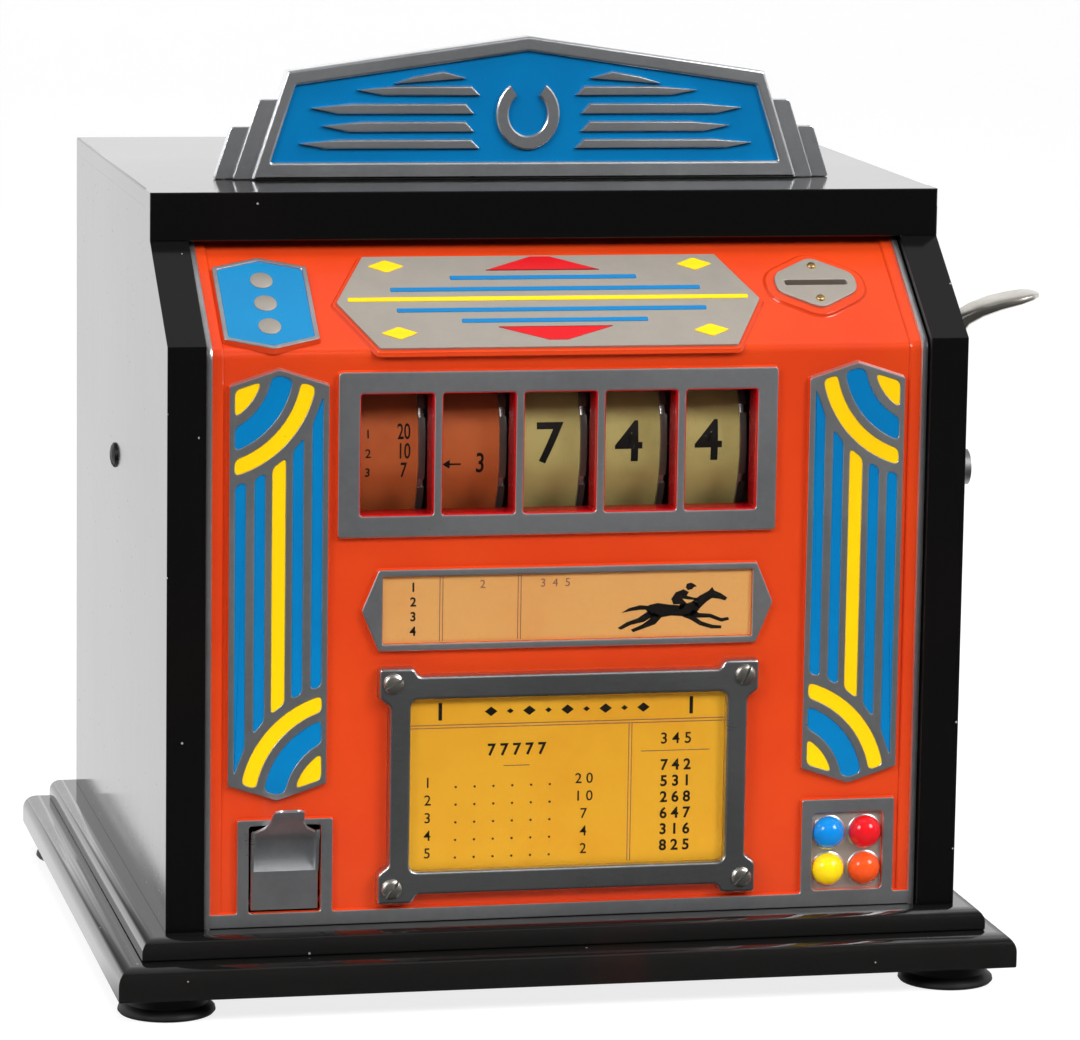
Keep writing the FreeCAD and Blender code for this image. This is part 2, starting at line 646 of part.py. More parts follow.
def enamel_grooves():
    """The dished fields of the pilasters: stripes and quarter rings, and the shield's field."""
    face = (front + dim.face_depth).number
    deep = dim.enamel_deep.number
    inset = dim.enamel_inset.number
    cells = []
    for hand in (-1, 1):
        cells += pilaster_cells(hand, face, deep, inset)
    grooves = doc.addObject("Part::Feature", "enamel_grooves")
    grooves.Shape = Part.makeCompound(cells)
    shield = new_body("shield_field")
    field = slope_sketch(shield, "shield_field_outline", dim.face_depth - 0.2)
    outline(field, tall_hexagon(dim.shield_at, dim.plate_along + 0.3, dim.shield_wide / 2 - dim.enamel_inset,
                                dim.shield_tall / 2 - dim.enamel_inset, dim.shield_peak))
    pad(shield, field, dim.enamel_deep + 0.2, backwards=True)
    return group("casting_hollows", [grooves, shield])


# Radii of the rings about a point beyond the pilaster's upper outer corner, from the inside out
RINGS = ((0, 19.4), (22.6, 29.7), (32.6, 37.7))
STRIPES_FROM = 40.9
STRIPES = ((-12.9, 3.5), (-6.4, 3.5), (0, 4.4), (6.4, 3.5), (12.9, 3.5))


def pilaster_cells(hand, face, deep, inset):
    """The enamel cells of one pilaster. The right one mirrors the left one."""
    middle = dim.pilaster_at.number * hand
    height = dim.pilaster_height.number
    half_wide = dim.pilaster_wide.number / 2 - inset
    half_tall = dim.pilaster_tall.number / 2 - inset
    shoulder = half_tall - dim.pilaster_peak.number
    corners = [(0, -half_tall), (half_wide, -shoulder), (half_wide, shoulder), (0, half_tall),
               (-half_wide, shoulder), (-half_wide, -shoulder)]
    field = prism([(middle + x, height + z) for x, z in corners], face - 0.2, deep + 0.2)
    cells = []
    blocked = []
    for end in (-1, 1):
        centre = Vector(middle + dim.arc_out.number * hand * end, face - 0.2, height + dim.arc_up.number * end)
        for inside, outside in RINGS:
            ring = Part.makeCylinder(outside, deep + 0.2, centre, Vector(0, 1, 0))
            if inside:
                ring = ring.cut(Part.makeCylinder(inside, deep + 0.2, centre, Vector(0, 1, 0)))
            cells.append(field.common(ring))
        blocked.append(Part.makeCylinder(STRIPES_FROM, deep + 0.2, centre, Vector(0, 1, 0)))
    for place, wide in STRIPES:
        low, high = middle + place - wide / 2, middle + place + wide / 2
        tall = [(low, height - half_tall), (high, height - half_tall), (high, height + half_tall),
                (low, height + half_tall)]
        stripe = prism(tall, face - 0.2, deep + 0.2).common(field)
        for block_out in blocked:
            stripe = stripe.cut(block_out)
        cells.append(stripe)
    return cells


def slope_plates():
    """The striped plate and the coin plate, laid on their pads and held by two small screws."""
    body = new_body("stripe_plate")
    plate = slope_sketch(body, "stripe_plate_outline", dim.face_depth)
    outline(plate, flat_hexagon(dim.art_shift, dim.plate_along, dim.plate_wide / 2, dim.plate_tall / 2,
                                dim.plate_point))
    pad(body, plate, dim.plate_wall, backwards=True)
    node(body, "stripe_plate")

    body = new_body("coin_plate")
    plate = slope_sketch(body, "coin_plate_outline", dim.face_depth)
    outline(plate, tall_hexagon(dim.coin_at, dim.coin_along, dim.coin_plate_wide / 2,
                                dim.coin_plate_tall / 2, dim.coin_plate_tall / 4))
    pad(body, plate, dim.plate_wall, backwards=True)
    slot = slope_sketch(body, "coin_slot", dim.face_depth)
    rectangle(slot, dim.coin_at - dim.coin_slot_wide / 2, dim.coin_at + dim.coin_slot_wide / 2,
              dim.coin_along - dim.coin_slot_tall / 2, dim.coin_along + dim.coin_slot_tall / 2)
    for along in (-coin_screw_along, coin_screw_along):
        circle(slot, dim.coin_at, dim.coin_along + along, coin_screw_radius + dim.turning_gap)
    pocket(body, slot, dim.plate_wall)
    node(body, "coin_plate")

    body = new_body("coin_plate_screws")
    heads = slope_sketch(body, "coin_screw_heads", dim.face_depth)
    shanks = slope_sketch(body, "coin_screw_shanks", dim.face_depth)
    for along in (-coin_screw_along, coin_screw_along):
        circle(heads, dim.coin_at, dim.coin_along + along, coin_screw_radius * 1.4)
        circle(shanks, dim.coin_at, dim.coin_along + along, coin_screw_radius)
    pad(body, heads, as_size(0.7))
    pad(body, shanks, dim.plate_wall + dim.casting_wall, backwards=True)
    node(body, "coin_plate_screws")


def card_set():
    """The card frame with notched corners, its screws, and the card and glass behind it."""
    wide, tall = dim.card_frame_wide / 2, card_frame_tall / 2
    out, rise, ear = dim.card_ear_out, dim.card_ear_up, dim.card_ear
    corner = [(wide - ear * 0.85, tall), (wide - ear * 0.7, tall + rise), (wide + out, tall + rise),
              (wide + out, tall - ear * 0.65), (wide, tall - ear * 0.9)]
    ring = [(x, z) for x, z in corner]
    ring += [(x, -z) for x, z in reversed(corner)]
    ring += [(-x, -z) for x, z in corner]
    ring += [(-x, z) for x, z in reversed(corner)]
    face = dim.field_depth - dim.card_frame_wall
    body = new_body("card_frame")
    shape = front_sketch(body, "card_frame_outline", face)
    outline(shape, [(dim.card_shift + x, card_height + z) for x, z in ring])
    pad(body, shape, dim.card_frame_wall, backwards=True)
    opening = front_sketch(body, "card_frame_opening", face)
    open_wide, open_tall = wide - dim.card_bar, tall - dim.card_bar - 0.8
    rectangle(opening, dim.card_shift - open_wide, dim.card_shift + open_wide,
              card_height - open_tall, card_height + open_tall)
    for x, z in card_screw_places():
        circle(opening, x, z, card_screw_radius + dim.turning_gap)
    pocket(body, opening, dim.card_frame_wall)
    rebate = front_sketch(body, "card_frame_rebate", dim.field_depth)
    rebate_deep = dim.glass_wall * 0.6 + dim.paper + dim.slip
    rebate_wide, rebate_tall = open_wide + 2.5, open_tall + 2.5
    rectangle(rebate, dim.card_shift - rebate_wide, dim.card_shift + rebate_wide,
              card_height - rebate_tall, card_height + rebate_tall)
    pocket(body, rebate, rebate_deep, backwards=True)
    node(body, "card_frame")

    x_span = (dim.card_shift - rebate_wide + dim.slip, dim.card_shift + rebate_wide - dim.slip)
    z_span = (card_height - rebate_tall + dim.slip, card_height + rebate_tall - dim.slip)
    back = front + dim.field_depth
    node(block("rules_card", x_span, (back - dim.paper, back), z_span), "rules_card")
    glass_back = back - dim.paper
    node(block("card_glass", x_span, (glass_back - dim.glass_wall * 0.6, glass_back), z_span), "card_glass")

    body = new_body("card_frame_screws")
    heads = front_sketch(body, "card_screw_heads", face)
    shanks = front_sketch(body, "card_screw_shanks", face)
    slots = sketch_at(body, "card_screw_slots", "XZ", -front - face + 1.4)
    for x, z in card_screw_places():
        circle(heads, x, z, card_screw_radius * 1.95)
        circle(shanks, x, z, card_screw_radius)
        rectangle(slots, x - card_screw_radius * 2, x + card_screw_radius * 2, z - 0.4, z + 0.4)
    pad(body, heads, as_size(1.4))
    pad(body, shanks, dim.card_frame_wall + dim.casting_wall - 0.5, backwards=True)
    pocket(body, slots, as_size(0.8))
    node(body, "card_frame_screws")


def strip_set():
    """The paper strip in its recess under a thin clear cover."""
    x_span = (-dim.strip_card_wide / 2 + 0.1, dim.strip_card_wide / 2 - 0.1)
    z_span = (dim.strip_height - dim.strip_card_tall / 2 + 0.1, dim.strip_height + dim.strip_card_tall / 2 - 0.1)
    back = front + dim.field_depth
    node(block("odds_card", x_span, (back - dim.paper, back), z_span), "odds_card")
    cover = (back - dim.paper - dim.clear_wall, back - dim.paper)
    node(block("odds_cover", x_span, cover, z_span), "odds_cover")


def reel_glass():
    """The pane behind the five windows."""
    near = front + dim.face_depth + dim.window_deep
    half_wide, half_tall = dim.reel_frame_wide / 2, dim.reel_frame_tall / 2
    node(block("reel_glass", (works_left + dim.works_plate + dim.slip, works_right - dim.slip),
               (near, near + dim.glass_wall),
               (dim.reel_height - half_tall, dim.reel_height + half_tall)), "reel_glass")


gum_pin_height = dim.gum_door_low + 3.4
gum_pin_back = front + dim.face_depth + 3.6


def gum_door():
    """A scoop that tilts forward on a pin at its foot, with a thumb tab at its top."""
    half = dim.gum_door_wide / 2 - dim.slip * 2
    face = front + dim.face_depth
    low = dim.gum_door_low + dim.slip * 2
    high = dim.gum_door_low + dim.gum_door_tall
    skin = dim.tin_wall
    body = new_body("gum_scoop")
    shape = sketch_at(body, "scoop_profile", "YZ", dim.gum_door_at - half)
    crease = low + dim.gum_door_tall * 0.465
    outline(shape, [
        (face + 1, low + 1.6), (face + 2.2, low), (gum_pin_back + 3, low), (gum_pin_back + 3, low + skin + 3.4),
        (face + 1 + skin, low + skin + 3.4), (face + 1 + skin, crease), (face + 2.5 + skin, crease + 2.6),
        (face + 2.8 + skin, crease + 6.6), (face + 1.4 + skin, high - 4.2), (face - 1.3, high),
        (face - 6.4, high + 3.8), (face - 10.9, high + 6.2), (face - 11.8, high + 5.2),
        (face - 7, high + 2.6), (face - 2, high - 0.9), (face + 1.5, high - 4.8), (face + 2.8, crease + 6.5),
        (face + 2.4, crease + 2.6), (face + 1, crease)])
    pad(body, shape, half * 2)
    tab = sketch_at(body, "scoop_tab", "XZ", -face + 14)
    for hand in (-1, 1):
        wide, narrow, tip = half * hand, half * (0.48 * hand), half * (0.3 * hand)
        outline(tab, [(dim.gum_door_at + wide * 1.1, high - 4.6), (dim.gum_door_at + wide * 1.1, high + 9),
                      (dim.gum_door_at + tip, high + 9), (dim.gum_door_at + tip, high + 6.6),
                      (dim.gum_door_at + narrow, high + 4.6), (dim.gum_door_at + narrow, high - 0.6),
                      (dim.gum_door_at + wide, high - 4.6)])
    pocket(body, tab, as_size(18))
    for name, start in (("cheek_left", -half), ("cheek_right", half - skin)):
        cheek = sketch_at(body, "scoop_" + name, "YZ", dim.gum_door_at + start)
        outline(cheek, [(face + 1, crease - 1), (face - 0.2, crease + 5), (face - 1.2, crease + 10),
                        (face - 2.4, high - 2), (face - 2.2, high - 1), (face - 0.4, high - 2),
                        (face + 2, high - 4.6), (face + 3.4, crease + 6.6), (face + 3, crease + 2.6),
                        (face + 1.6, crease - 1)])
        pad(body, cheek, skin)
    doc.recompute()
    bore = rod("scoop_bore", "x", gum_pin_radius + dim.turning_gap, dim.gum_door_at - half - 1,
               dim.gum_door_at + half + 1, (gum_pin_back, gum_pin_height))
    node(cut("gum_door", body, bore), "gum_door")
    node(gum_pin(as_size(2), gum_pin_radius), "gum_door_pin")


gum_pin_radius = as_size(1.2)


def gum_pin(reach, radius):
    """The bar under the scoop, or the bore it needs, reaching past the mouth at both ends."""
    half = dim.gum_door_wide / 2 + reach
    return rod("gum_pin_%d" % len(nodes), "x", radius, dim.gum_door_at - half, dim.gum_door_at + half,
               (gum_pin_back, gum_pin_height))


def marquee():
    """The cast sign: a peaked plate with a recessed field, two steps each side and rear lugs."""
    body = new_body("marquee")
    near = header_front + dim.marquee_back
    lean = dim.marquee_lean
    wide, tall = dim.marquee_wide / 2, dim.marquee_tall
    levels = ((wide, tall * 0.37, 0.5), (wide - dim.marquee_step, tall * 0.56, 0.75),
              (wide - dim.marquee_step * 2, tall * 0.755, 1))
    for number, (half, shoulder, share) in enumerate(levels):
        plate = sketch_at(body, "marquee_plate_%d" % number, "XZ", -near - dim.marquee_wall * (1 - share))
        top = tall if number == 2 else shoulder
        outline(plate, [(-half, case_top), (half, case_top), (half - shoulder * lean, case_top + shoulder),
                        (0, case_top + top + 0.01), (-half + shoulder * lean, case_top + shoulder)])
        pad(body, plate, dim.marquee_wall * share, backwards=True)
    field_half = wide - dim.marquee_step * 2 - 6.2
    field = sketch_at(body, "marquee_field", "XZ", -near)
    outline(field, [(-field_half, case_top + 6), (field_half, case_top + 6),
                    (field_half - tall * 0.53 * lean, case_top + tall * 0.655),
                    (0, case_top + tall - 5.2), (-field_half + tall * 0.53 * lean, case_top + tall * 0.655)])
    pocket(body, field, dim.marquee_recess)
    lugs = sketch_at(body, "marquee_lugs", "XY", case_top)
    for middle in (-lug_across, lug_across):
        rectangle(lugs, middle - 8, middle + 8, sign_back - 1, sign_back + lug_deep)
    pad(body, lugs, lug_wall)
    bores = sketch_at(body, "marquee_bores", "XY", case_top)
    for middle in (-lug_across, lug_across):
        circle(bores, middle, sign_back + lug_deep / 2, dim.screw_radius + dim.slip / 3)
    pocket(body, bores, lug_wall, backwards=True)
    node(body, "marquee")


def works_plates():
    """Two steel plates that carry the works, each on a flange screwed to the base."""
    near, far = front + 24, front + 140
    for label, low, hand in (("mech_plate_left", works_left, -1), ("mech_plate_right", works_right, 1)):
        lower_near = near if hand > 0 else front + dim.wheel_back + dim.chute_wide / 2 + 5
        body = new_body(label)
        plate = sketch_at(body, label + "_side", "YZ", low)
        outline(plate, [(lower_near, board_top), (far, board_top), (far, dim.reel_height + 34),
                        (front + 18, dim.reel_height + 34), (front + 18, dim.wheel_height + 42),
                        (lower_near, dim.wheel_height + 32)])
        pad(body, plate, dim.works_plate)
        flange = sketch_at(body, label + "_flange", "XY", board_top)
        ends = (low - flange_wide, low) if hand < 0 else (low + dim.works_plate, low + dim.works_plate + flange_wide)
        rectangle(flange, ends[0], ends[1], front + 106, front + 134)
        pad(body, flange, dim.works_plate)
        bore = sketch_at(body, label + "_flange_bore", "XY", board_top)
        circle(bore, (ends[0] + ends[1]) / 2, front + 120, dim.screw_radius + dim.slip / 3)
        pocket(body, bore, dim.works_plate, backwards=True)
        holes = sketch_at(body, label + "_holes", "YZ", low)
        for place, radius in rod_places():
            circle(holes, place[0], place[1], radius + dim.turning_gap)
        circle(holes, bail_back, bail_height, dim.rod_radius + dim.turning_gap)
        if hand > 0:
            circle(holes, lever_back, dim.lever_height, dim.lever_shaft_radius + dim.turning_gap)
            circle(holes, front + dim.wheel_back, dim.wheel_height, dim.lever_shaft_radius + dim.turning_gap)
            circle(holes, front + dim.wheel_back, dim.wheel_height - wheel_pocket, dim.ball_hole)
        pocket(body, holes, dim.works_plate, backwards=True)
        node(body, label)


wheel_pocket = dim.wheel_radius - dim.ball_hole - 1.2
bail_back = lever_back + dim.gear_radius * 2 * dim.gear_line.cos()
bail_height = dim.lever_height - dim.gear_radius * 2 * dim.gear_line.sin()


def rod_places():
    """Centres and radii of the bars that cross between the two plates."""
    return [((reel_back, dim.reel_height), dim.reel_shaft_radius),
            ((front + dim.finger_back, dim.finger_height), dim.rod_radius),
            ((front + dim.rear_rod_back, dim.rear_rod_height), dim.rod_radius * 1.6),
            ((front + 24, dim.wheel_height + 54), dim.rod_radius)]


def cross_rods():
    """Spacing bars between the plates. The rear one reaches both sides of the case."""
    bars = []
    collar = dim.slip / 3
    for number, (centre, radius) in enumerate(rod_places()[1:]):
        low = works_left - 3
        high = works_right + dim.works_plate + (as_size(3) if number == 0 else as_size(0.3))
        if number == 1:
            low, high = -inner + collar, inner - collar
        bar = rod("cross_bar_%d" % number, "x", radius, low, high, centre)
        if number == 1:
            bores = [rod("cross_bore_left", "x", dim.screw_radius + collar, -inner, -inner + 10, centre),
                     rod("cross_bore_right", "x", dim.screw_radius + collar, inner - 10, inner, centre)]
            bar = cut("rear_cross_bar", bar, join("cross_bores", bores))
        bars.append(bar)
    node(group("cross_rods", bars), "cross_rods")
    shaft = rod("reel_shaft", "x", dim.reel_shaft_radius, works_left - 3,
                works_right + dim.works_plate + 0.3, (reel_back, dim.reel_height))
    node(shaft, "reel_shaft")


def reels():
    """Five light drums with a notched index flange at the right, each with its paper strip."""
    for number in range(1, 6):
        middle = reel_middle + dim.reel_pitch * (number - 3)
        left = middle - dim.reel_wide / 2 - 1.2
        index_left = left + dim.reel_wide
        label = "reel_drum_%d" % number
        body = new_body(label)
        rim = sketch_at(body, label + "_rim", "YZ", left)
        circle(rim, reel_back, dim.reel_height, dim.reel_radius)
        circle(rim, reel_back, dim.reel_height, dim.reel_radius - 1.6)
        pad(body, rim, dim.reel_wide)
        flange = sketch_at(body, label + "_index", "YZ", index_left)
        circle(flange, reel_back, dim.reel_height, dim.index_radius)
        circle(flange, reel_back, dim.reel_height, dim.reel_shaft_radius + dim.turning_gap)
        pad(body, flange, dim.reel_gap)
        hub_long = dim.reel_pitch - dim.slip
        hub = sketch_at(body, label + "_hub", "YZ", middle - hub_long / 2)
        circle(hub, reel_back, dim.reel_height, dim.reel_shaft_radius + 3)
        circle(hub, reel_back, dim.reel_height, dim.reel_shaft_radius + dim.turning_gap)
        pad(body, hub, hub_long)
        notch = sketch_at(body, label + "_notch", "YZ", index_left)
        rectangle(notch, reel_back - 1.6, reel_back + 1.6, dim.reel_height + dim.index_radius - 2.4,
                  dim.reel_height + dim.index_radius + 1)
        opened = pocket(body, notch, dim.reel_gap, backwards=True)
        repeated(body, label + "_notches", opened, index_left, (reel_back, dim.reel_height), 10)
        light = sketch_at(body, label + "_light", "YZ", index_left)
        circle(light, reel_back, dim.reel_height + dim.reel_radius * 0.56, dim.reel_radius * 0.2)
        opened = pocket(body, light, dim.reel_gap, backwards=True)
        repeated(body, label + "_holes", opened, index_left, (reel_back, dim.reel_height), 5)
        node(body, label)
        strip = rod("strip_outer_%d" % number, "x", dim.reel_radius + dim.paper, left, index_left - 0.1,
                    (reel_back, dim.reel_height))
        hollow = rod("strip_inner_%d" % number, "x", dim.reel_radius + 0.04, left - 1, index_left + 1,
                     (reel_back, dim.reel_height))
        node(cut("reel_strip_%d" % number, strip, hollow), "reel_strip_%d" % number)


def lever():
    """The hand lever outside the right side: hub, arm and a thumb pad turned outwards."""
    body = new_body("lever_handle")
    start = side + dim.slip * 2
    height = dim.lever_height
    arm = sketch_at(body, "lever_arm", "YZ", start)
    outline(arm, [(lever_back - 7, height - 2), (lever_back + 7, height - 2), (lever_back + 4.4, height + 46),
                  (lever_back - 4.4, height + 46)])
    pad(body, arm, dim.lever_thick)
    hub = sketch_at(body, "lever_hub", "YZ", start)
    circle(hub, lever_back, height, 9)
    pad(body, hub, dim.lever_thick + 2)
    pad_out = side + dim.lever_pad_out
    top = height + dim.lever_top
    thumb = sketch_at(body, "lever_thumb", "XZ", dim.lever_pad_wide / 2 - lever_back)
    outline(thumb, [
        (start, height + 43), (start + 7, height + 43), (start + 11, top - 13), (start + 18, top - 9),
        (side + 26, top - 6.6), (pad_out - 1, top - 3.2), (pad_out, top - 1.4), (pad_out - 1.4, top - 0.2),
        (side + 25, top - 0.6), (start + 15, top - 1.6), (start + 8, top - 5), (start + 2.4, top - 11)])
    pad(body, thumb, dim.lever_pad_wide, backwards=True)
    waist = sketch_at(body, "lever_waist", "YZ", start - 1)
    for hand in (-1, 1):
        outline(waist, [(lever_back + hand * 4.4, height + 40), (lever_back + hand * 12, height + 40),
                        (lever_back + hand * 12, top + 1), (lever_back + hand * 8.5, top + 1),
                        (lever_back + hand * 4.4, top - 9)])
    pocket(body, waist, as_size(15), backwards=True)
    bore = sketch_at(body, "lever_bore", "YZ", start)
    circle(bore, lever_back, height, dim.lever_shaft_radius)
    pocket(body, bore, dim.lever_thick + 2, backwards=True)
    node(body, "lever_handle")

    centre = (lever_back, dim.lever_height)
    crank_left = works_right - dim.works_plate - 2.2
    shaft = rod("lever_bar", "x", dim.lever_shaft_radius, crank_left, start + dim.lever_thick + 2, centre)
    nut = rod("lever_nut", "x", 6.25, start + dim.lever_thick + 2, side + 17.5, centre)
    crank = crank_arm("lever_crank", lever_back, dim.lever_height, crank_left)
    node(join("lever_shaft", [shaft, nut, crank]), "lever_shaft")


crank_angle = as_size(-100)


def crank_arm(name, back, height, left):
    """A flat arm with a pin that points to the left, both at the crank's rest angle."""
    pin_back = back + dim.crank_reach * crank_angle.cos()
    pin_height = height + dim.crank_reach * crank_angle.sin()
    boss = rod(name + "_boss", "x", 6, left, left + 2.5, (back, height))
    eye = rod(name + "_eye", "x", 3.6, left, left + 2.5, (pin_back, pin_height))
    pin = rod(name + "_pin", "x", 2, left - 3, left, (pin_back, pin_height))
    web = doc.addObject("Part::Box", name + "_web")
    web.Placement = FreeCAD.Placement(Vector(), Rotation(Vector(1, 0, 0), crank_angle.number))
    bind(web, "Length", 2.5)
    bind(web, "Width", dim.crank_reach)
    bind(web, "Height", 6)
    bind(web, "Placement.Base.x", left)
    bind(web, "Placement.Base.y", back - 3 * crank_angle.sin() * -1)
    bind(web, "Placement.Base.z", height - 3 * crank_angle.cos())
    return join(name, [boss, eye, pin, web])


def lever_mount():
    """The bush in the right side and the spring wound round its sleeve."""
    centre = (lever_back, dim.lever_height)
    sleeve_radius = dim.lever_shaft_radius + 3
    sleeve_start = inner - 18
    sleeve = rod("bush_sleeve", "x", sleeve_radius, sleeve_start, side, centre)
    flange = rod("bush_flange", "x", sleeve_radius + 5, inner - 2.5, inner, centre)
    bore = rod("bush_bore", "x", dim.lever_shaft_radius + dim.turning_gap, sleeve_start - 1, side + 1, centre)
    node(cut("lever_bush", join("bush_solid", [sleeve, flange]), bore), "lever_bush")

    wire = 0.7
    coil_radius = sleeve_radius.number + dim.slip.number + wire
    pitch = 2.1
    turns = 6
    helix = Part.makeHelix(pitch, pitch * turns, coil_radius)
    profile = Part.Wire(Part.makeCircle(wire, Vector(coil_radius, 0, 0), Vector(0, 1, 0)))
    coil = Part.Wire(helix.Edges).makePipeShell([profile], True, False)
    print("lever spring gap between turns", round(pitch - 2 * wire, 2))
    spring = doc.addObject("Part::Feature", "lever_spring")
    spring.Shape = coil
    start = (inner - 2.5 - dim.slip).number - pitch * turns - wire
    spring.Placement = FreeCAD.Placement(Vector(start, lever_back.number, dim.lever_height.number), TURNS["x"])
    node(spring, "lever_spring")


def gear(name, back, height, left, turn):
    """A spur gear with straight-flanked teeth, with one tooth at the given angle."""
    body = new_body(name)
    root = dim.gear_radius - 2.6
    disc = sketch_at(body, name + "_disc", "YZ", 0)
    circle(disc, 0, 0, root)
    pad(body, disc, dim.gear_wall)
    tooth = sketch_at(body, name + "_tooth", "YZ", 0)
    outline(tooth, [(root - 0.6, -2), (root + 0.2, -1.95), (dim.gear_radius, -1.3), (dim.gear_radius + 1.7, -0.55),
                    (dim.gear_radius + 1.7, 0.55), (dim.gear_radius, 1.3), (root + 0.2, 1.95), (root - 0.6, 2)])
    teeth = pad(body, tooth, dim.gear_wall)
    ring = body.newObject("PartDesign::PolarPattern", name + "_ring")
    ring.Originals = [teeth]
    ring.Axis = (disc, ["N_Axis"])
    ring.Angle = 360
    bind(ring, "Occurrences", dim.gear_teeth)
    body.Tip = ring
    body.Placement = FreeCAD.Placement(Vector(), Rotation(Vector(1, 0, 0), turn))
    bind(body, "Placement.Base.x", left)
    bind(body, "Placement.Base.y", back)
    bind(body, "Placement.Base.z", height)
    return body


def gears_and_bail():
    """The gear on the lever shaft, and the bail that it turns to kick the reels."""
    left = works_right + dim.works_plate + 0.5
    # The drive gear has a tooth on the line of centres, and the bail's gear a gap
    line = -dim.gear_line.number
    half_tooth = 180 / dim.gear_teeth.number
    blank = gear("drive_gear_blank", lever_back, dim.lever_height, left, line)
    bore = rod("drive_gear_bore", "x", dim.lever_shaft_radius, left - 1, left + dim.gear_wall + 1,
               (lever_back, dim.lever_height))
    node(cut("drive_gear", blank, bore), "drive_gear")
    centre = (bail_back, bail_height)
    follower = gear("bail_gear", bail_back, bail_height, left, line + 180 + half_tooth)
    bar = rod("bail_bar", "x", dim.rod_radius, works_left - 3, left + dim.gear_wall, centre)
    reach_back = reel_back - bail_back
    reach_up = dim.reel_height - bail_height
    span = math.hypot(reach_back.number, reach_up.number)
    pieces = [follower, bar]
    length = span - dim.index_radius.number - 0.6
    aim = math.degrees(math.atan2(reach_up.number, reach_back.number))
    for number in range(1, 6):
        index_left = reel_middle + dim.reel_pitch * (number - 3) - dim.reel_wide / 2 - 1.2 + dim.reel_wide
        kicker = doc.addObject("Part::Box", "kicker_%d" % number)
        kicker.Placement = FreeCAD.Placement(Vector(), Rotation(Vector(1, 0, 0), aim))
        bind(kicker, "Length", dim.reel_gap)
        kicker.Width = length
        kicker.Height = 2.4
        bind(kicker, "Placement.Base.x", index_left)
        bind(kicker, "Placement.Base.y", bail_back)
        bind(kicker, "Placement.Base.z", bail_height)
        boss = rod("kicker_boss_%d" % number, "x", dim.rod_radius + 2.4, index_left - 2, index_left + 4, centre)
        pieces += [kicker, boss]
    node(join("kicker_bail", pieces), "kicker_bail")


def stop_fingers():
    """Five fingers on the upper rear bar, one for each reel's notches."""
    back, height = front + dim.finger_back, dim.finger_height
    away = (reel_back - back).number
    down = (dim.reel_height - height).number
    length = math.hypot(away, down) - dim.index_radius.number - 0.6
    aim = math.degrees(math.atan2(down, away))
    for number in range(1, 6):
        label = "stop_finger_%d" % number
        index_left = reel_middle + dim.reel_pitch * (number - 3) - dim.reel_wide / 2 - 1.2 + dim.reel_wide
        boss = rod(label + "_boss", "x", dim.rod_radius + 3, index_left - 3, index_left + 5, (back, height))
        arm = doc.addObject("Part::Box", label + "_arm")
        arm.Placement = FreeCAD.Placement(Vector(), Rotation(Vector(1, 0, 0), aim))
        bind(arm, "Length", dim.reel_gap)
        arm.Width = length
        arm.Height = 3
        bind(arm, "Placement.Base.x", index_left)
        bind(arm, "Placement.Base.y", back)
        bind(arm, "Placement.Base.z", height)
        bore = rod(label + "_bore", "x", dim.rod_radius + dim.turning_gap, index_left - 4, index_left + 6,
                   (back, height))
        node(cut(label, join(label + "_solid", [boss, arm]), bore), label)


def gum_wheel():
    """The wheel with six pockets that carries a ball to the chute, turned by a crank."""
    back, height = front + dim.wheel_back, dim.wheel_height
    left = works_right + dim.works_plate + 0.8
    body = new_body("gum_wheel_disc")
    disc = sketch_at(body, "gum_wheel_round", "YZ", left)
    circle(disc, back, height, dim.wheel_radius)
    pad(body, disc, dim.wheel_wall)
    hole = sketch_at(body, "gum_wheel_hole", "YZ", left)
    circle(hole, back, height - wheel_pocket, dim.ball_hole)
    opened = pocket(body, hole, dim.wheel_wall, backwards=True)
    repeated(body, "gum_wheel", opened, left, (back, height), 6)
    crank_left = works_right - dim.works_plate - 2.2
    shaft = rod("gum_wheel_shaft", "x", dim.lever_shaft_radius, crank_left, left + dim.wheel_wall + 0.4,
                (back, height))
    crank = crank_arm("gum_crank", back, height, crank_left)
    node(join("gum_wheel", [body, shaft, crank]), "gum_wheel")
    gum_rod()


def gum_rod():
    """The rod from the lever's crank to the wheel's crank, which keep in step."""
    left = works_right - dim.works_plate - 2.2 - 2.6
    offset_back = dim.crank_reach * crank_angle.cos()
    offset_up = dim.crank_reach * crank_angle.sin()
    ends = [(lever_back + offset_back, dim.lever_height + offset_up),
            (front + dim.wheel_back + offset_back, dim.wheel_height + offset_up)]
    body = new_body("gum_rod")
    for number, (back, height) in enumerate(ends):
        eye = sketch_at(body, "rod_eye_%d" % number, "YZ", left)
        circle(eye, back, height, 4.2)
        pad(body, eye, as_size(2))
    bar = sketch_at(body, "rod_bar", "YZ", left)
    outline(bar, [(ends[1][0] - 2.5, ends[1][1]), (ends[1][0] + 2.5, ends[1][1]),
                  (ends[0][0] + 2.5, ends[0][1]), (ends[0][0] - 2.5, ends[0][1])])
    pad(body, bar, as_size(2))
    bores = sketch_at(body, "rod_bores", "YZ", left)
    for back, height in ends:
        circle(bores, back, height, 2 + dim.turning_gap)
    pocket(body, bores, as_size(2), backwards=True)
    node(body, "gum_rod")


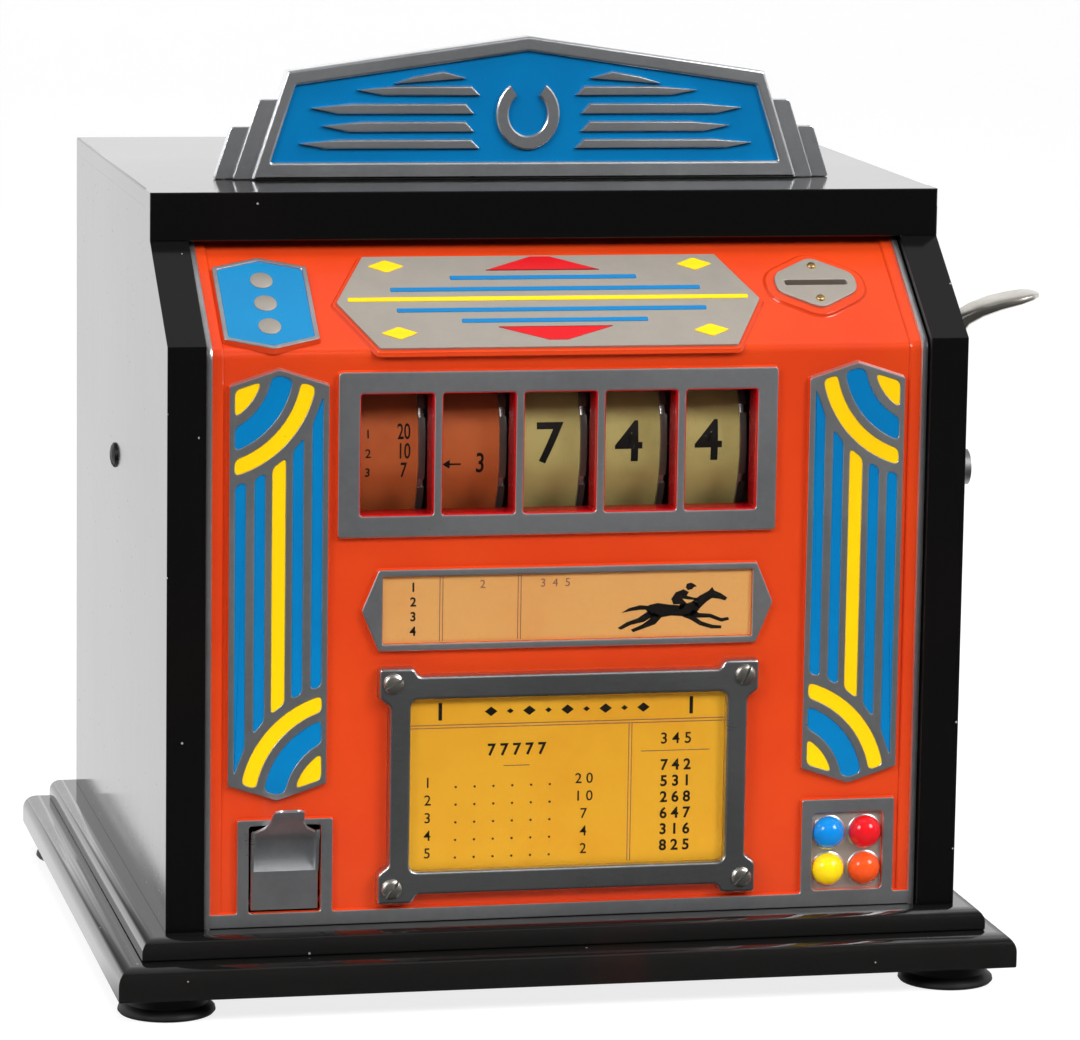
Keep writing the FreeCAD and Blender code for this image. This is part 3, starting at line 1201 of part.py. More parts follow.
def gum_hopper():
    """An open tin bin beside the wheel, on two legs, with a hole for one ball at a time."""
    left = works_right + dim.works_plate + 0.8 + dim.wheel_wall + 0.8
    right = inner - 2
    near, far = front + 20, front + 20 + dim.hopper_deep
    low = dim.hopper_low
    top = low + dim.hopper_tall
    body = new_body("gum_hopper")
    shape = sketch_at(body, "hopper_side", "YZ", left)
    outline(shape, [(near, low), (far, low + 14), (far, top), (near, top)])
    pad(body, shape, right - left)
    hollow = sketch_at(body, "hopper_hollow", "YZ", left + dim.tin_wall)
    outline(hollow, [(near + dim.tin_wall, low + dim.tin_wall), (far - dim.tin_wall, low + 14 + dim.tin_wall),
                     (far - dim.tin_wall, top + 1), (near + dim.tin_wall, top + 1)])
    pocket(body, hollow, right - left - dim.tin_wall * 2, backwards=True)
    legs = sketch_at(body, "hopper_legs", "XY", board_top)
    rectangle(legs, left, right, near, near + dim.tin_wall)
    rectangle(legs, left, right, far - dim.tin_wall, far)
    pad(body, legs, low + 1 - board_top)
    rear_leg = sketch_at(body, "hopper_rear_leg", "XY", board_top)
    rectangle(rear_leg, left, right, far - dim.tin_wall, far)
    pad(body, rear_leg, low + 15 - board_top)
    hole = sketch_at(body, "hopper_hole", "YZ", left)
    circle(hole, front + dim.wheel_back, dim.wheel_height + wheel_pocket + 1, dim.ball_hole)
    pocket(body, hole, dim.tin_wall, backwards=True)
    node(body, "gum_hopper")


def gum_chute():
    """A tin trough that falls gently from the wheel to the scoop at the left."""
    back = front + dim.wheel_back
    near, far = back - dim.chute_wide / 2, back + dim.chute_wide / 2
    start = works_right - dim.slip
    end = dim.gum_door_at - 8
    high = dim.wheel_height - wheel_pocket - dim.ball_hole - 1.4
    drop = as_size(8)
    body = new_body("chute_trough")
    side_shape = sketch_at(body, "chute_side", "XZ", -near)
    outline(side_shape, [(end, high - drop - dim.tin_wall), (start, high - dim.tin_wall), (start, high + 7),
                         (end, high - drop + 7)])
    pad(body, side_shape, dim.chute_wide, backwards=True)
    hollow = sketch_at(body, "chute_hollow", "XZ", -near - dim.tin_wall)
    outline(hollow, [(end + dim.tin_wall, high - drop), (start + 1, high), (start + 1, high + 12),
                     (end + dim.tin_wall, high - drop + 12)])
    pocket(body, hollow, dim.chute_wide - dim.tin_wall * 2)
    doc.recompute()
    spout_near = gum_pin_back + 4.4
    spout_low = high - drop - dim.tin_wall
    spout = block("chute_spout", (end, end + 16 + dim.tin_wall), (spout_near, near + dim.tin_wall),
                  (spout_low, spout_low + 10))
    way = block("chute_way", (end + dim.tin_wall, end + 16), (spout_near - 1, near + dim.tin_wall + 1),
                (high - drop + 0.4, high - drop + 20))
    leg = block("chute_leg", (end, end + 12), (near + 4, far - 4), (board_top, spout_low + 0.6))
    node(cut("gum_chute", join("chute_solid", [body, spout, leg]), way), "gum_chute")


def coin_chute():
    """A flat tin tube from the coin slot past the lever shaft and down to the cash box."""
    skin = dim.tin_wall
    half_gap = dim.coin_gap / 2
    start_depth = dim.field_depth + dim.casting_wall + dim.slip
    sin_a, cos_a = dim.slope_angle.sin(), dim.slope_angle.cos()
    start = (front + dim.coin_along * sin_a + start_depth * cos_a,
             break_height + dim.coin_along * cos_a - start_depth * sin_a)
    throat = (start[0] + cos_a * 16, start[1] - sin_a * 16)
    passing = (lever_back + dim.lever_shaft_radius + dim.chute_clear, dim.lever_height + 8)
    bend = start[0] + cos_a * 106
    turn = (bend, passing[1] - (bend - passing[0]) * sin_a / cos_a)
    low = board_top + dim.cash_tall + 12

    def band(half, start_shift, end_shift):
        """The tube's side outline at half a thickness."""
        reach = half / sin_a
        return [(start[0] + half * sin_a - cos_a * start_shift, start[1] + half * cos_a + sin_a * start_shift),
                (throat[0] + reach, throat[1]), (passing[0] + reach, passing[1]), (turn[0] + half, turn[1]),
                (turn[0] + half, low - end_shift), (turn[0] - half, low - end_shift),
                (turn[0] - half, turn[1]), (passing[0] - reach, passing[1]), (throat[0] - reach, throat[1]),
                (start[0] - half * sin_a - cos_a * start_shift, start[1] - half * cos_a + sin_a * start_shift)]

    half_wide = dim.coin_slot_wide / 2
    body = new_body("coin_chute")
    outside = sketch_at(body, "coin_chute_outside", "YZ", dim.coin_at - half_wide - skin)
    outline(outside, band(half_gap + skin, as_size(0), as_size(0)))
    pad(body, outside, half_wide * 2 + skin * 2)
    inside = sketch_at(body, "coin_chute_inside", "YZ", dim.coin_at - half_wide)
    outline(inside, band(half_gap, as_size(3), as_size(3)))
    pocket(body, inside, half_wide * 2, backwards=True)
    strap = sketch_at(body, "coin_chute_strap", "YZ", works_right + dim.works_plate)
    rectangle(strap, turn[0] - half_gap - skin, turn[0] + half_gap + skin, low, low + 4)
    pad(body, strap, dim.coin_at - half_wide - skin - works_right - dim.works_plate + 0.5)
    node(body, "coin_chute")
    return turn


def cash_box(turn):
    """An open tin box under the coin chute that is drawn out through the back."""
    near = turn[0] - 12
    far = near + dim.cash_deep
    left = works_right + dim.works_plate + flange_wide + 1.5
    right = inner - 2
    low = board_top + dim.slip
    body = new_body("cash_box")
    outside = sketch_at(body, "cash_box_outside", "XY", low)
    rectangle(outside, left, right, near, far)
    pad(body, outside, dim.cash_tall)
    inside = sketch_at(body, "cash_box_inside", "XY", low + dim.tin_wall)
    rectangle(inside, left + dim.tin_wall, right - dim.tin_wall, near + dim.tin_wall, far - dim.tin_wall)
    pocket(body, inside, dim.cash_tall, backwards=True)
    node(body, "cash_box")


def build_all():
    """Every piece of the object."""
    base_boards()
    foot_places = feet()
    wood_screws(foot_places)
    side_panels()
    top_boards()
    back_door()
    door_lock()
    door_hinges()
    front_casting()
    slope_plates()
    card_set()
    strip_set()
    reel_glass()
    gum_door()
    marquee()
    works_plates()
    cross_rods()
    reels()
    lever()
    lever_mount()
    gears_and_bail()
    stop_fingers()
    gum_wheel()
    gum_hopper()
    gum_chute()
    cash_box(coin_chute())


def check_and_write():
    """Stop at any failed feature or bad solid, then write each piece."""
    doc.recompute()
    for thing in doc.Objects:
        if "Invalid" in thing.State or "Error" in thing.State:
            raise RuntimeError("%s failed: %s" % (thing.Name, thing.State))
    for thing in nodes:
        if thing.Shape.isNull() or not thing.Shape.isValid() or not thing.Shape.Solids:
            raise RuntimeError("%s has no valid solid" % thing.Label)
    os.makedirs("parts", exist_ok=True)
    for thing in nodes:
        thing.Shape.exportStep("parts/%s.step" % thing.Label)
    print(len(nodes), "pieces written")


build_all()
check_and_write()
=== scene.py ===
import math
import bmesh
import bpy
from mathutils import Matrix, Vector


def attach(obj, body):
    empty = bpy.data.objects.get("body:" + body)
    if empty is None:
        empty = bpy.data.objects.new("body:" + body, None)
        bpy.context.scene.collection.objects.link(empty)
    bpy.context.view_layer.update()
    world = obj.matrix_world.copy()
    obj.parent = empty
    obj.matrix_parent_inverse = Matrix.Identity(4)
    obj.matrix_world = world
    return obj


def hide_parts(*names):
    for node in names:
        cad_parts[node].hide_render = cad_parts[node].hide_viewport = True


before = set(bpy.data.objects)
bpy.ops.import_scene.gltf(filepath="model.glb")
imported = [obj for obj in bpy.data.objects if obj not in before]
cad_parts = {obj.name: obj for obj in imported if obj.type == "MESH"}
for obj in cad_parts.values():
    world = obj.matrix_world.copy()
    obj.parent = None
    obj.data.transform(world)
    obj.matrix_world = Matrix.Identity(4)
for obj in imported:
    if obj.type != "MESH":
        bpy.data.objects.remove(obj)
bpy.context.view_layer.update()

# Camera: it stands in front of the case, left of its middle and half a metre up, and looks down
# a little through a long lens whose frame is shifted, as in the photograph.
FRAME_WIDE, FRAME_TALL = 1080, 1040
FOCAL_PIXELS, AXIS_X, AXIS_Y = 5337.5, 656.55, 523.28
FILM_WIDE = 36
stand = Vector((-0.38205, -1.84689, 0.45943))
turn, tip, roll = -0.2337, -0.1651, 0.0189
level = Vector((-math.sin(turn), math.cos(turn), 0))
ahead = level * math.cos(tip) + Vector((0, 0, math.sin(tip)))
across = Vector((math.cos(turn), math.sin(turn), 0))
above = Vector((0, 0, math.cos(tip))) - level * math.sin(tip)
hand = across * math.cos(roll) + above * math.sin(roll)
crown = above * math.cos(roll) - across * math.sin(roll)
lens = bpy.data.cameras.new("camera")
lens.lens = FOCAL_PIXELS / FRAME_WIDE * FILM_WIDE
lens.sensor_width = FILM_WIDE
lens.shift_x = (FRAME_WIDE / 2 - AXIS_X) / FRAME_WIDE
lens.shift_y = (AXIS_Y - FRAME_TALL / 2) / FRAME_WIDE
lens.clip_start = 0.05
camera = bpy.data.objects.new("camera", lens)
facing = Matrix((hand, crown, -ahead)).transposed().to_4x4()
camera.matrix_world = Matrix.Translation(stand) @ facing
bpy.context.scene.collection.objects.link(camera)
bpy.context.scene.camera = camera
bpy.context.scene.view_settings.view_transform = "Standard"


class Wire:
    """One output of a shader's nodes, which can be added, multiplied and compared."""

    def __init__(self, tree, socket=None):
        self.tree = tree
        self.socket = socket

    def make(self, kind, settings=None, inputs=None, output=0):
        """A new node: its settings first, then the values or wires of its inputs."""
        node = self.tree.nodes.new("ShaderNode" + kind)
        for name, value in (settings or {}).items():
            if name == "stops":
                for element, (place, colour) in zip(node.color_ramp.elements, value):
                    element.position = place
                    element.color = colour
            else:
                setattr(node, name, value)
        for name, value in (inputs or {}).items():
            if isinstance(value, Wire):
                self.tree.links.new(value.socket, node.inputs[name])
            else:
                node.inputs[name].default_value = value
        return Wire(self.tree, node.outputs[output])

    def maths(self, operation, first, second=0.0):
        return self.make("Math", {"operation": operation}, {0: first, 1: second})

    def __add__(self, other):
        return self.maths("ADD", self, other)

    def __radd__(self, other):
        return self.maths("ADD", other, self)

    def __sub__(self, other):
        return self.maths("SUBTRACT", self, other)

    def __rsub__(self, other):
        return self.maths("SUBTRACT", other, self)

    def __mul__(self, other):
        return self.maths("MULTIPLY", self, other)

    def __gt__(self, other):
        return self.maths("GREATER_THAN", self, other)

    def __lt__(self, other):
        return self.maths("LESS_THAN", self, other)

    def step(self, low, high):
        """A soft step from 0 at low to 1 at high."""
        return self.make("MapRange", {"interpolation_type": "SMOOTHSTEP"},
                         {"Value": self, "From Min": low, "From Max": high})

    def blend(self, first, second):
        """The first colour where this is 0 and the second where it is 1."""
        return self.make("Mix", {"data_type": "RGBA"}, {0: self, 6: first, 7: second}, 2)

    def into(self, socket):
        self.tree.links.new(self.socket, socket)


# Studio: a white sweep of paper under and behind the case, bright paper above and at the sides,
# and a dark room in front, which is what the polished metal and the lacquer reflect.
world = bpy.data.worlds.new("studio")
bpy.context.scene.world = world
world.use_nodes = True
sky = Wire(world.node_tree)
direction = sky.make("TexCoord", output="Generated")
towards_front = sky.make("SeparateXYZ", inputs={0: direction}, output="Y") * -1
upwards = sky.make("SeparateXYZ", inputs={0: direction}, output="Z")
behind = 1.0 - towards_front.step(0.0, 0.5)
overhead = upwards.step(0.35, 0.9)
mirrored = sky.make("LightPath", output="Is Glossy Ray")
paper_light = behind * (1.0 - overhead * (0.45 + mirrored * 0.2)) + 0.06
seen = sky.make("LightPath", output="Is Camera Ray")
strength = seen + (1.0 - seen) * paper_light
background = world.node_tree.nodes["Background"]
background.inputs["Color"].default_value = (1, 1, 1, 1)
strength.into(background.inputs["Strength"])

floor_finish = bpy.data.materials.new("white_paper_sweep")
floor_finish.use_nodes = True
floor_wire = Wire(floor_finish.node_tree)
floor_place = floor_wire.make("TexCoord", output="Object")
fibres = floor_wire.make("TexNoise", inputs={"Vector": floor_place, "Scale": 400.0, "Detail": 3.0})
paper_white = fibres.blend((0.9, 0.9, 0.9, 1), (0.94, 0.94, 0.94, 1))
floor_surface = floor_finish.node_tree.nodes["Principled BSDF"]
floor_surface.inputs["Roughness"].default_value = 0.8
floor_surface.inputs["Specular IOR Level"].default_value = 0.2
paper_white.into(floor_surface.inputs["Base Color"])
camera_ray = floor_wire.make("LightPath", output="Is Camera Ray")
mirror_ray = floor_wire.make("LightPath", output="Is Glossy Ray")
beside = floor_wire.make("SeparateXYZ", inputs={0: floor_place}, output="Y").step(-0.15, -0.02)
shine = camera_ray * 1.25 + mirror_ray * (0.05 + beside * 1.2)
glow = floor_wire.make("Emission", inputs={"Color": (1, 1, 1, 1), "Strength": shine})
floor_mix = floor_wire.make("MixShader", inputs={0: camera_ray * 0.65 + mirror_ray, 2: glow})
floor_finish.node_tree.links.new(floor_surface.outputs[0], floor_mix.socket.node.inputs[1])
floor_mix.into(floor_finish.node_tree.nodes["Material Output"].inputs["Surface"])
sweep = bmesh.new()
sweep_edge = [sweep.verts.new((-3, -0.34, 0)), sweep.verts.new((3, -0.34, 0))]
sweep.edges.new(sweep_edge)
grown_edge = sweep.edges[:]
for move in ((0, 2.6, 0), (0, 0.5, 0.06), (0, 0.4, 0.3), (0, 0.1, 0.6), (0, 0, 1.2)):
    made = bmesh.ops.extrude_edge_only(sweep, edges=grown_edge)["geom"]
    corners = [part for part in made if isinstance(part, bmesh.types.BMVert)]
    bmesh.ops.translate(sweep, vec=move, verts=corners)
    grown_edge = [part for part in made if isinstance(part, bmesh.types.BMEdge)]
bmesh.ops.recalc_face_normals(sweep, faces=sweep.faces)
floor_mesh = bpy.data.meshes.new("paper_sweep")
sweep.to_mesh(floor_mesh)
sweep.free()
floor_mesh.materials.append(floor_finish)
floor_mesh.shade_smooth()
floor = bpy.data.objects.new("paper_sweep", floor_mesh)
bpy.context.scene.collection.objects.link(floor)


def softbox(name, place, wide, tall, power, mirrored=True):
    """A large soft lamp that faces the middle of the case."""
    lamp = bpy.data.lights.new(name, "AREA")
    lamp.shape = "RECTANGLE"
    lamp.size = wide
    lamp.size_y = tall
    lamp.energy = power
    thing = bpy.data.objects.new(name, lamp)
    aim = Vector((0, -0.05, 0.15)) - Vector(place)
    thing.matrix_world = Matrix.Translation(place) @ aim.to_track_quat("-Z", "Y").to_matrix().to_4x4()
    thing.visible_glossy = mirrored
    bpy.context.scene.collection.objects.link(thing)


softbox("right_softbox", (1.5, -1.6, 1.5), 0.9, 0.9, 38)
softbox("left_softbox", (-1.7, -1.5, 1.3), 0.8, 0.8, 26)
softbox("top_softbox", (0.0, -0.35, 1.7), 1.2, 0.7, 11, False)
softbox("front_fill", (-0.1, -1.9, 1.5), 1.0, 0.8, 17, False)


# Base boards: two boards of lacquered hardwood, glued one on the other. The lower one's top edge
# is rounded over, the upper one has a bead, and thin lacquer shows the red-brown primer.
BLACK = (0.0024, 0.0022, 0.0021, 1)
HALF_WIDE, HALF_DEEP = 137, 120


def new_finish(name, **constants):
    """A material with one surface shader, its constants set, and a wire to start from."""
    material = bpy.data.materials.new(name)
    material.use_nodes = True
    surface = material.node_tree.nodes["Principled BSDF"]
    for socket, value in constants.items():
        surface.inputs[socket.replace("_", " ").title().replace("Ior", "IOR")].default_value = value
    return material, surface, Wire(material.node_tree)


def noise(wire, place, scale, detail=3.0, rough=0.5):
    """Cloudy noise with features of about one part in scale of a metre."""
    settings = {"Vector": place, "Scale": scale, "Detail": detail, "Roughness": rough}
    return wire.make("TexNoise", inputs=settings)


def stretched(wire, place, scale):
    """Coordinates squeezed along each axis by a factor."""
    return wire.make("Mapping", inputs={"Vector": place, "Scale": scale})


def bumped(wire, surface, height, strength, distance=0.0002):
    """Fine relief from a height."""
    wire.make("Bump", inputs={"Height": height, "Strength": strength, "Distance": distance}).into(
        surface.inputs["Normal"])


def lacquer(name, primer, black=BLACK):
    """Black gloss lacquer with brush marks, dust in the film and a hint of the primer below."""
    material, surface, wire = new_finish(name, ior=1.52)
    place = wire.make("TexCoord", output="Object")
    cloud = noise(wire, place, 14.0, 5.0)
    streaks = noise(wire, stretched(wire, place, (60.0, 60.0, 2.5)), 3.0, 4.0)
    thin = cloud.step(0.56, 0.78) * primer
    ground = thin.blend(black, (0.035, 0.008, 0.005, 1))
    cells = wire.make("TexVoronoi", inputs={"Vector": place, "Scale": 190.0})
    chosen = wire.make("TexVoronoi", inputs={"Vector": place, "Scale": 190.0}, output="Color")
    dust = (cells < 0.075) * (wire.make("SeparateColor", inputs={0: chosen}) > 0.86)
    dust.blend(ground, (0.28, 0.27, 0.25, 1)).into(surface.inputs["Base Color"])
    (0.06 + cloud * 0.08 + streaks * 0.03 + dust * 0.4).into(surface.inputs["Roughness"])
    bumped(wire, surface, noise(wire, place, 160.0) * 0.5 + streaks * 0.5 + dust, 0.10)
    return material


def set_down(name, shape, place, body, finishes, crease=35, replaces=()):
    """Turns a bmesh drawn in millimetres into a piece that rides on a body."""
    bmesh.ops.transform(shape, matrix=place, verts=shape.verts)
    bmesh.ops.remove_doubles(shape, verts=shape.verts, dist=1e-6)
    bmesh.ops.recalc_face_normals(shape, faces=shape.faces)
    for face in shape.faces:
        face.smooth = True
    # Edges stay sharp where they turn far, and where a large flat meets a small rounding
    for line in shape.edges:
        angle = math.degrees(line.calc_face_angle(0))
        areas = sorted(face.calc_area() for face in line.link_faces)
        line.smooth = angle < crease and not (angle > 2 and areas and areas[-1] > 5 * areas[0])
    mesh = bpy.data.meshes.new(name)
    shape.to_mesh(mesh)
    shape.free()
    for finish in finishes:
        mesh.materials.append(finish)
    piece = bpy.data.objects.new(name, mesh)
    bpy.context.scene.collection.objects.link(piece)
    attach(piece, body)
    if replaces:
        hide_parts(*replaces)
    return piece


MM = Matrix.Scale(0.001, 4)


def board(low, high):
    """A plain board between two corners."""
    shape = bmesh.new()
    bmesh.ops.create_cube(shape, size=1)
    low, high = Vector(low), Vector(high)
    bmesh.ops.scale(shape, vec=high - low, verts=shape.verts)
    bmesh.ops.translate(shape, vec=(low + high) / 2, verts=shape.verts)
    return shape


def eased(shape, edges, offset, segments=2):
    """Rounds some edges over."""
    bmesh.ops.bevel(shape, geom=edges, offset=offset, segments=segments, profile=0.5, affect="EDGES",
                    clamp_overlap=True, material=-1)


def edges_where(shape, test):
    """The edges whose two ends both pass a test."""
    return [edge for edge in shape.edges if all(test(corner.co) for corner in edge.verts)]


moulding_finish = lacquer("moulding_lacquer", 0.5, (0.0068, 0.0064, 0.0061, 1))
for board_name, low, high, out, nose in (("base_lower_board", 9, 20.5, 18, 5.8),
                                         ("base_upper_board", 20.5, 28, 9, 4.6)):
    shape = board((-HALF_WIDE - out, -HALF_DEEP - out, low), (HALF_WIDE + out, HALF_DEEP + out, high))
    eased(shape, edges_where(shape, lambda co: co.z > high - 0.1), nose, 7)
    eased(shape, edges_where(shape, lambda co: co.z < low + 0.1), 0.6, 2)
    set_down(board_name + "_lacquered", shape, MM, "cabinet", [moulding_finish], 50,
             [board_name])

# Feet: four black rubber feet with a wide soft flange at the table, a screw up through each.
rubber, rubber_surface, rubber_wire = new_finish("black_rubber", specular_ior_level=0.4)
rubber_place = rubber_wire.make("TexCoord", output="Object")
rubber_cloud = noise(rubber_wire, rubber_place, 220.0, 6.0)
rubber_tone = rubber_cloud.blend((0.002, 0.002, 0.002, 1), (0.008, 0.0075, 0.007, 1))
rubber_tone.into(rubber_surface.inputs["Base Color"])
(0.42 + rubber_cloud * 0.3).into(rubber_surface.inputs["Roughness"])
bumped(rubber_wire, rubber_surface, rubber_cloud, 0.3)


def turned(shape, profile, place, steps=40):
    """Adds a lathe-turned solid: its profile is given as radius and height along its own axis."""
    known = set(shape.verts)
    corners = [shape.verts.new((radius, 0, height)) for radius, height in profile]
    line = [shape.edges.new(pair) for pair in zip(corners, corners[1:])]
    bmesh.ops.spin(shape, geom=corners + line, cent=(0, 0, 0), axis=(0, 0, 1), angle=math.tau, steps=steps,
                   use_merge=True, use_duplicate=False)
    new = [corner for corner in shape.verts if corner not in known]
    bmesh.ops.transform(shape, matrix=place, verts=new)


FOOT = ((4.9, 4.4), (4.9, 0.7), (6.2, 0), (14.2, 0), (15.8, 0.3), (16.5, 1.1), (16.3, 2.2), (15.2, 3.2),
        (13.9, 3.9), (13.6, 5), (13.8, 8), (13.4, 8.9), (2.4, 9), (2.4, 4.4), (4.9, 4.4))
FEET_AT = [(x, y) for x in (-136, 136) for y in (-116, 116)]
feet = bmesh.new()
for x, y in FEET_AT:
    turned(feet, FOOT, Matrix.Translation((x, y, 0)))
set_down("rubber_feet_moulded", feet, MM, "cabinet", [rubber], 40, ["rubber_feet"])

# Case: side panels, lid with its front rail, and the back door, all of black lacquered board with
# barely eased edges. The panels and the door keep the holes that the works need.
case_finish = lacquer("case_lacquer", 0.04)
door_finish = lacquer("door_lacquer", 0.4)


def softened(node, edge, limit=25, segments=2):
    """A copy of a CAD solid with its flats joined up and its sharp edges eased."""
    shape = bmesh.new()
    shape.from_mesh(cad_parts[node].data)
    bmesh.ops.remove_doubles(shape, verts=shape.verts, dist=1e-6)
    bmesh.ops.dissolve_limit(shape, angle_limit=math.radians(0.5), verts=shape.verts, edges=shape.edges)
    sharp = [line for line in shape.edges if len(line.link_faces) == 2
             and line.calc_face_angle(0) > math.radians(limit)]
    eased(shape, sharp, edge * 0.001, segments)
    return shape


IN_PLACE = Matrix.Identity(4)
for panel in ("side_panel_left", "side_panel_right"):
    set_down(panel + "_lacquered", softened(panel, 0.5), IN_PLACE, "cabinet", [case_finish],
             30, [panel])
set_down("back_door_lacquered", softened("back_door", 0.7), IN_PLACE, "door",
         [door_finish], 30, ["back_door"])
SLANT = math.radians(54.8)
SLOPE_RUN, LID_LOW, LID_TOP = 52.1, 265.9, 271.9
header_front = -HALF_DEEP + SLOPE_RUN * math.sin(SLANT)
lid = board((-HALF_WIDE, header_front + 6, LID_LOW), (HALF_WIDE, HALF_DEEP, LID_TOP - 0.02))
eased(lid, edges_where(lid, lambda co: co.z > LID_TOP - 0.1), 0.7, 3)
set_down("lid_lacquered", lid, MM, "cabinet", [case_finish], 30, ["top_board"])
RAIL_LOW, LAP = 255.35, 0.04
rail = board((-HALF_WIDE - LAP, header_front - 0.1, RAIL_LOW),
             (HALF_WIDE + LAP, header_front + 12, LID_TOP + LAP / 2))
eased(rail, edges_where(rail, lambda co: co.y < header_front), 0.6, 3)
set_down("header_rail_lacquered", rail, MM, "cabinet", [case_finish], 30, ["header_rail"])

# Cast front, ground: one bent sheet of cast aluminium, sprayed orange on its face. It carries
# every raised frame, and is open behind the reels, the gum door and the coin slot.
BEND_AT, BEND_RADIUS, BEND_STEPS = 225.4, 9, 7
UPRIGHT = MM @ Matrix(((1, 0, 0, 0), (0, 0, -1, -HALF_DEEP), (0, 1, 0, 0), (0, 0, 0, 1)))
SLOPE = MM @ Matrix(((1, 0, 0, 0), (0, math.sin(SLANT), -math.cos(SLANT), -HALF_DEEP),
                     (0, math.cos(SLANT), math.sin(SLANT), BEND_AT), (0, 0, 0, 1)))
FLAT, FIELD = -3.0, -5.0


def enamel(name, colour, shade, gloss=0.1, peel=0.16):
    """Sprayed and stoved enamel: one colour with a little drift, gloss and orange peel."""
    material, surface, wire = new_finish(name, ior=1.46)
    place = wire.make("TexCoord", output="Object")
    drift = noise(wire, place, 22.0, 4.0)
    speck = noise(wire, place, 900.0, 2.0).step(0.70, 0.78)
    tone = drift.step(0.3, 0.75).blend(colour, shade)
    (speck * 0.35).blend(tone, (0.02, 0.01, 0.01, 1)).into(surface.inputs["Base Color"])
    (gloss + drift * 0.14 + speck * 0.3).into(surface.inputs["Roughness"])
    bumped(wire, surface, noise(wire, place, 330.0) + noise(wire, place, 60.0) * 0.8, peel)
    return material


def polished(name, light, dark, gloss, grain=0.5, metallic=1.0):
    """Cast metal, ground and buffed: cloudy tone, fine scratches and pits."""
    material, surface, wire = new_finish(name, metallic=metallic)
    place = wire.make("TexCoord", output="Object")
    cloud = noise(wire, place, 70.0, 6.0, 0.65)
    broad = noise(wire, place, 16.0, 2.0)
    scratch = noise(wire, stretched(wire, place, (40.0, 90.0, 900.0)), 4.0, 4.0)
    cross = noise(wire, stretched(wire, place, (900.0, 60.0, 30.0)), 3.0, 3.0)
    pits = noise(wire, place, 1300.0, 2.0).step(0.72, 0.8)
    tone = (cloud.step(0.32, 0.7) * 0.55 + broad.step(0.38, 0.62) * 0.4 + pits * 0.4).blend(light, dark)
    tone.into(surface.inputs["Base Color"])
    (gloss + cloud * 0.2 + scratch * 0.12 + pits * 0.3).into(surface.inputs["Roughness"])
    bumped(wire, surface, (scratch + cross) * grain + cloud * 0.6 - pits, 0.12)
    return material


orange = enamel("orange_enamel", (0.64, 0.054, 0.009, 1), (0.60, 0.043, 0.008, 1))
red = enamel("red_enamel", (0.58, 0.006, 0.010, 1), (0.46, 0.004, 0.007, 1))
blue = enamel("blue_enamel", (0.001, 0.175, 0.43, 1), (0.001, 0.15, 0.38, 1))
pale_blue = enamel("pale_blue_enamel", (0.001, 0.20, 0.43, 1), (0.001, 0.175, 0.39, 1), 0.16)
yellow = enamel("yellow_enamel", (0.92, 0.58, 0.003, 1), (0.88, 0.53, 0.003, 1))
bare = polished("buffed_aluminium", (0.86, 0.87, 0.89, 1), (0.58, 0.59, 0.61, 1), 0.17, 0.5, 0.95)

bend_middle = Vector((0, BEND_RADIUS - HALF_DEEP, BEND_AT - BEND_RADIUS * math.tan(SLANT / 2)))


def along_front(x, height, station):
    """A point of the front: a station is ("z", height), ("bend", angle) or ("s", distance)."""
    kind, value = station
    if kind == "z":
        return Vector((x, -HALF_DEEP - height, value))
    if kind == "bend":
        reach = BEND_RADIUS + height
        return bend_middle + Vector((x, -reach * math.cos(value), reach * math.sin(value)))
    return Vector((x, -HALF_DEEP + value * math.sin(SLANT) - height * math.cos(SLANT),
                   BEND_AT + value * math.cos(SLANT) + height * math.sin(SLANT)))


def top_of_slope(height):
    """How far up the slope a height of the casting meets the header."""
    return (RAIL_LOW - 0.25 - BEND_AT - height * math.sin(SLANT)) / math.cos(SLANT)


BEND = [("bend", SLANT * step / BEND_STEPS) for step in range(BEND_STEPS + 1)]
ground = bmesh.new()
SHEET_HALF, SHEET_LOW, SHEET_WALL = 123.7, 28, 3
MOUTH = (-109, -83.5, 32.4, 63.4)
WINDOWS = (-77, 69, 163, 213)
SLOT = (77.6, 102.8, 29.2, 35.4)
X_LINES = (-SHEET_HALF, *MOUTH[:2], *WINDOWS[:2], *SLOT[:2], SHEET_HALF)
STATIONS = [("z", z) for z in (SHEET_LOW, *MOUTH[2:], *WINDOWS[2:])] + BEND
STATIONS += [("s", s) for s in (*SLOT[2:], top_of_slope(FIELD))]
slot_heights = [along_front(0, FIELD, ("s", s)).z for s in SLOT[2:]]
openings = (MOUTH, WINDOWS, (*SLOT[:2], *slot_heights))
rows = [[ground.verts.new(along_front(x, FIELD, station)) for station in STATIONS] for x in X_LINES]
lines = [[ground.edges.new(pair) for pair in zip(row, row[1:])] for row in rows]
for line, following in zip(lines, lines[1:]):
    bmesh.ops.bridge_loops(ground, edges=line + following)
for face in ground.faces[:]:
    middle = face.calc_center_median()
    if any(left < middle.x < right and low < middle.z < high for left, right, low, high in openings):
        ground.faces.remove(face)
bmesh.ops.recalc_face_normals(ground, faces=ground.faces)
if ground.faces[0].normal.y > 0:
    bmesh.ops.reverse_faces(ground, faces=ground.faces)
bmesh.ops.solidify(ground, geom=ground.faces[:], thickness=SHEET_WALL)
set_down("front_ground", ground, MM, "cabinet", [orange], 40, ["front_casting"])


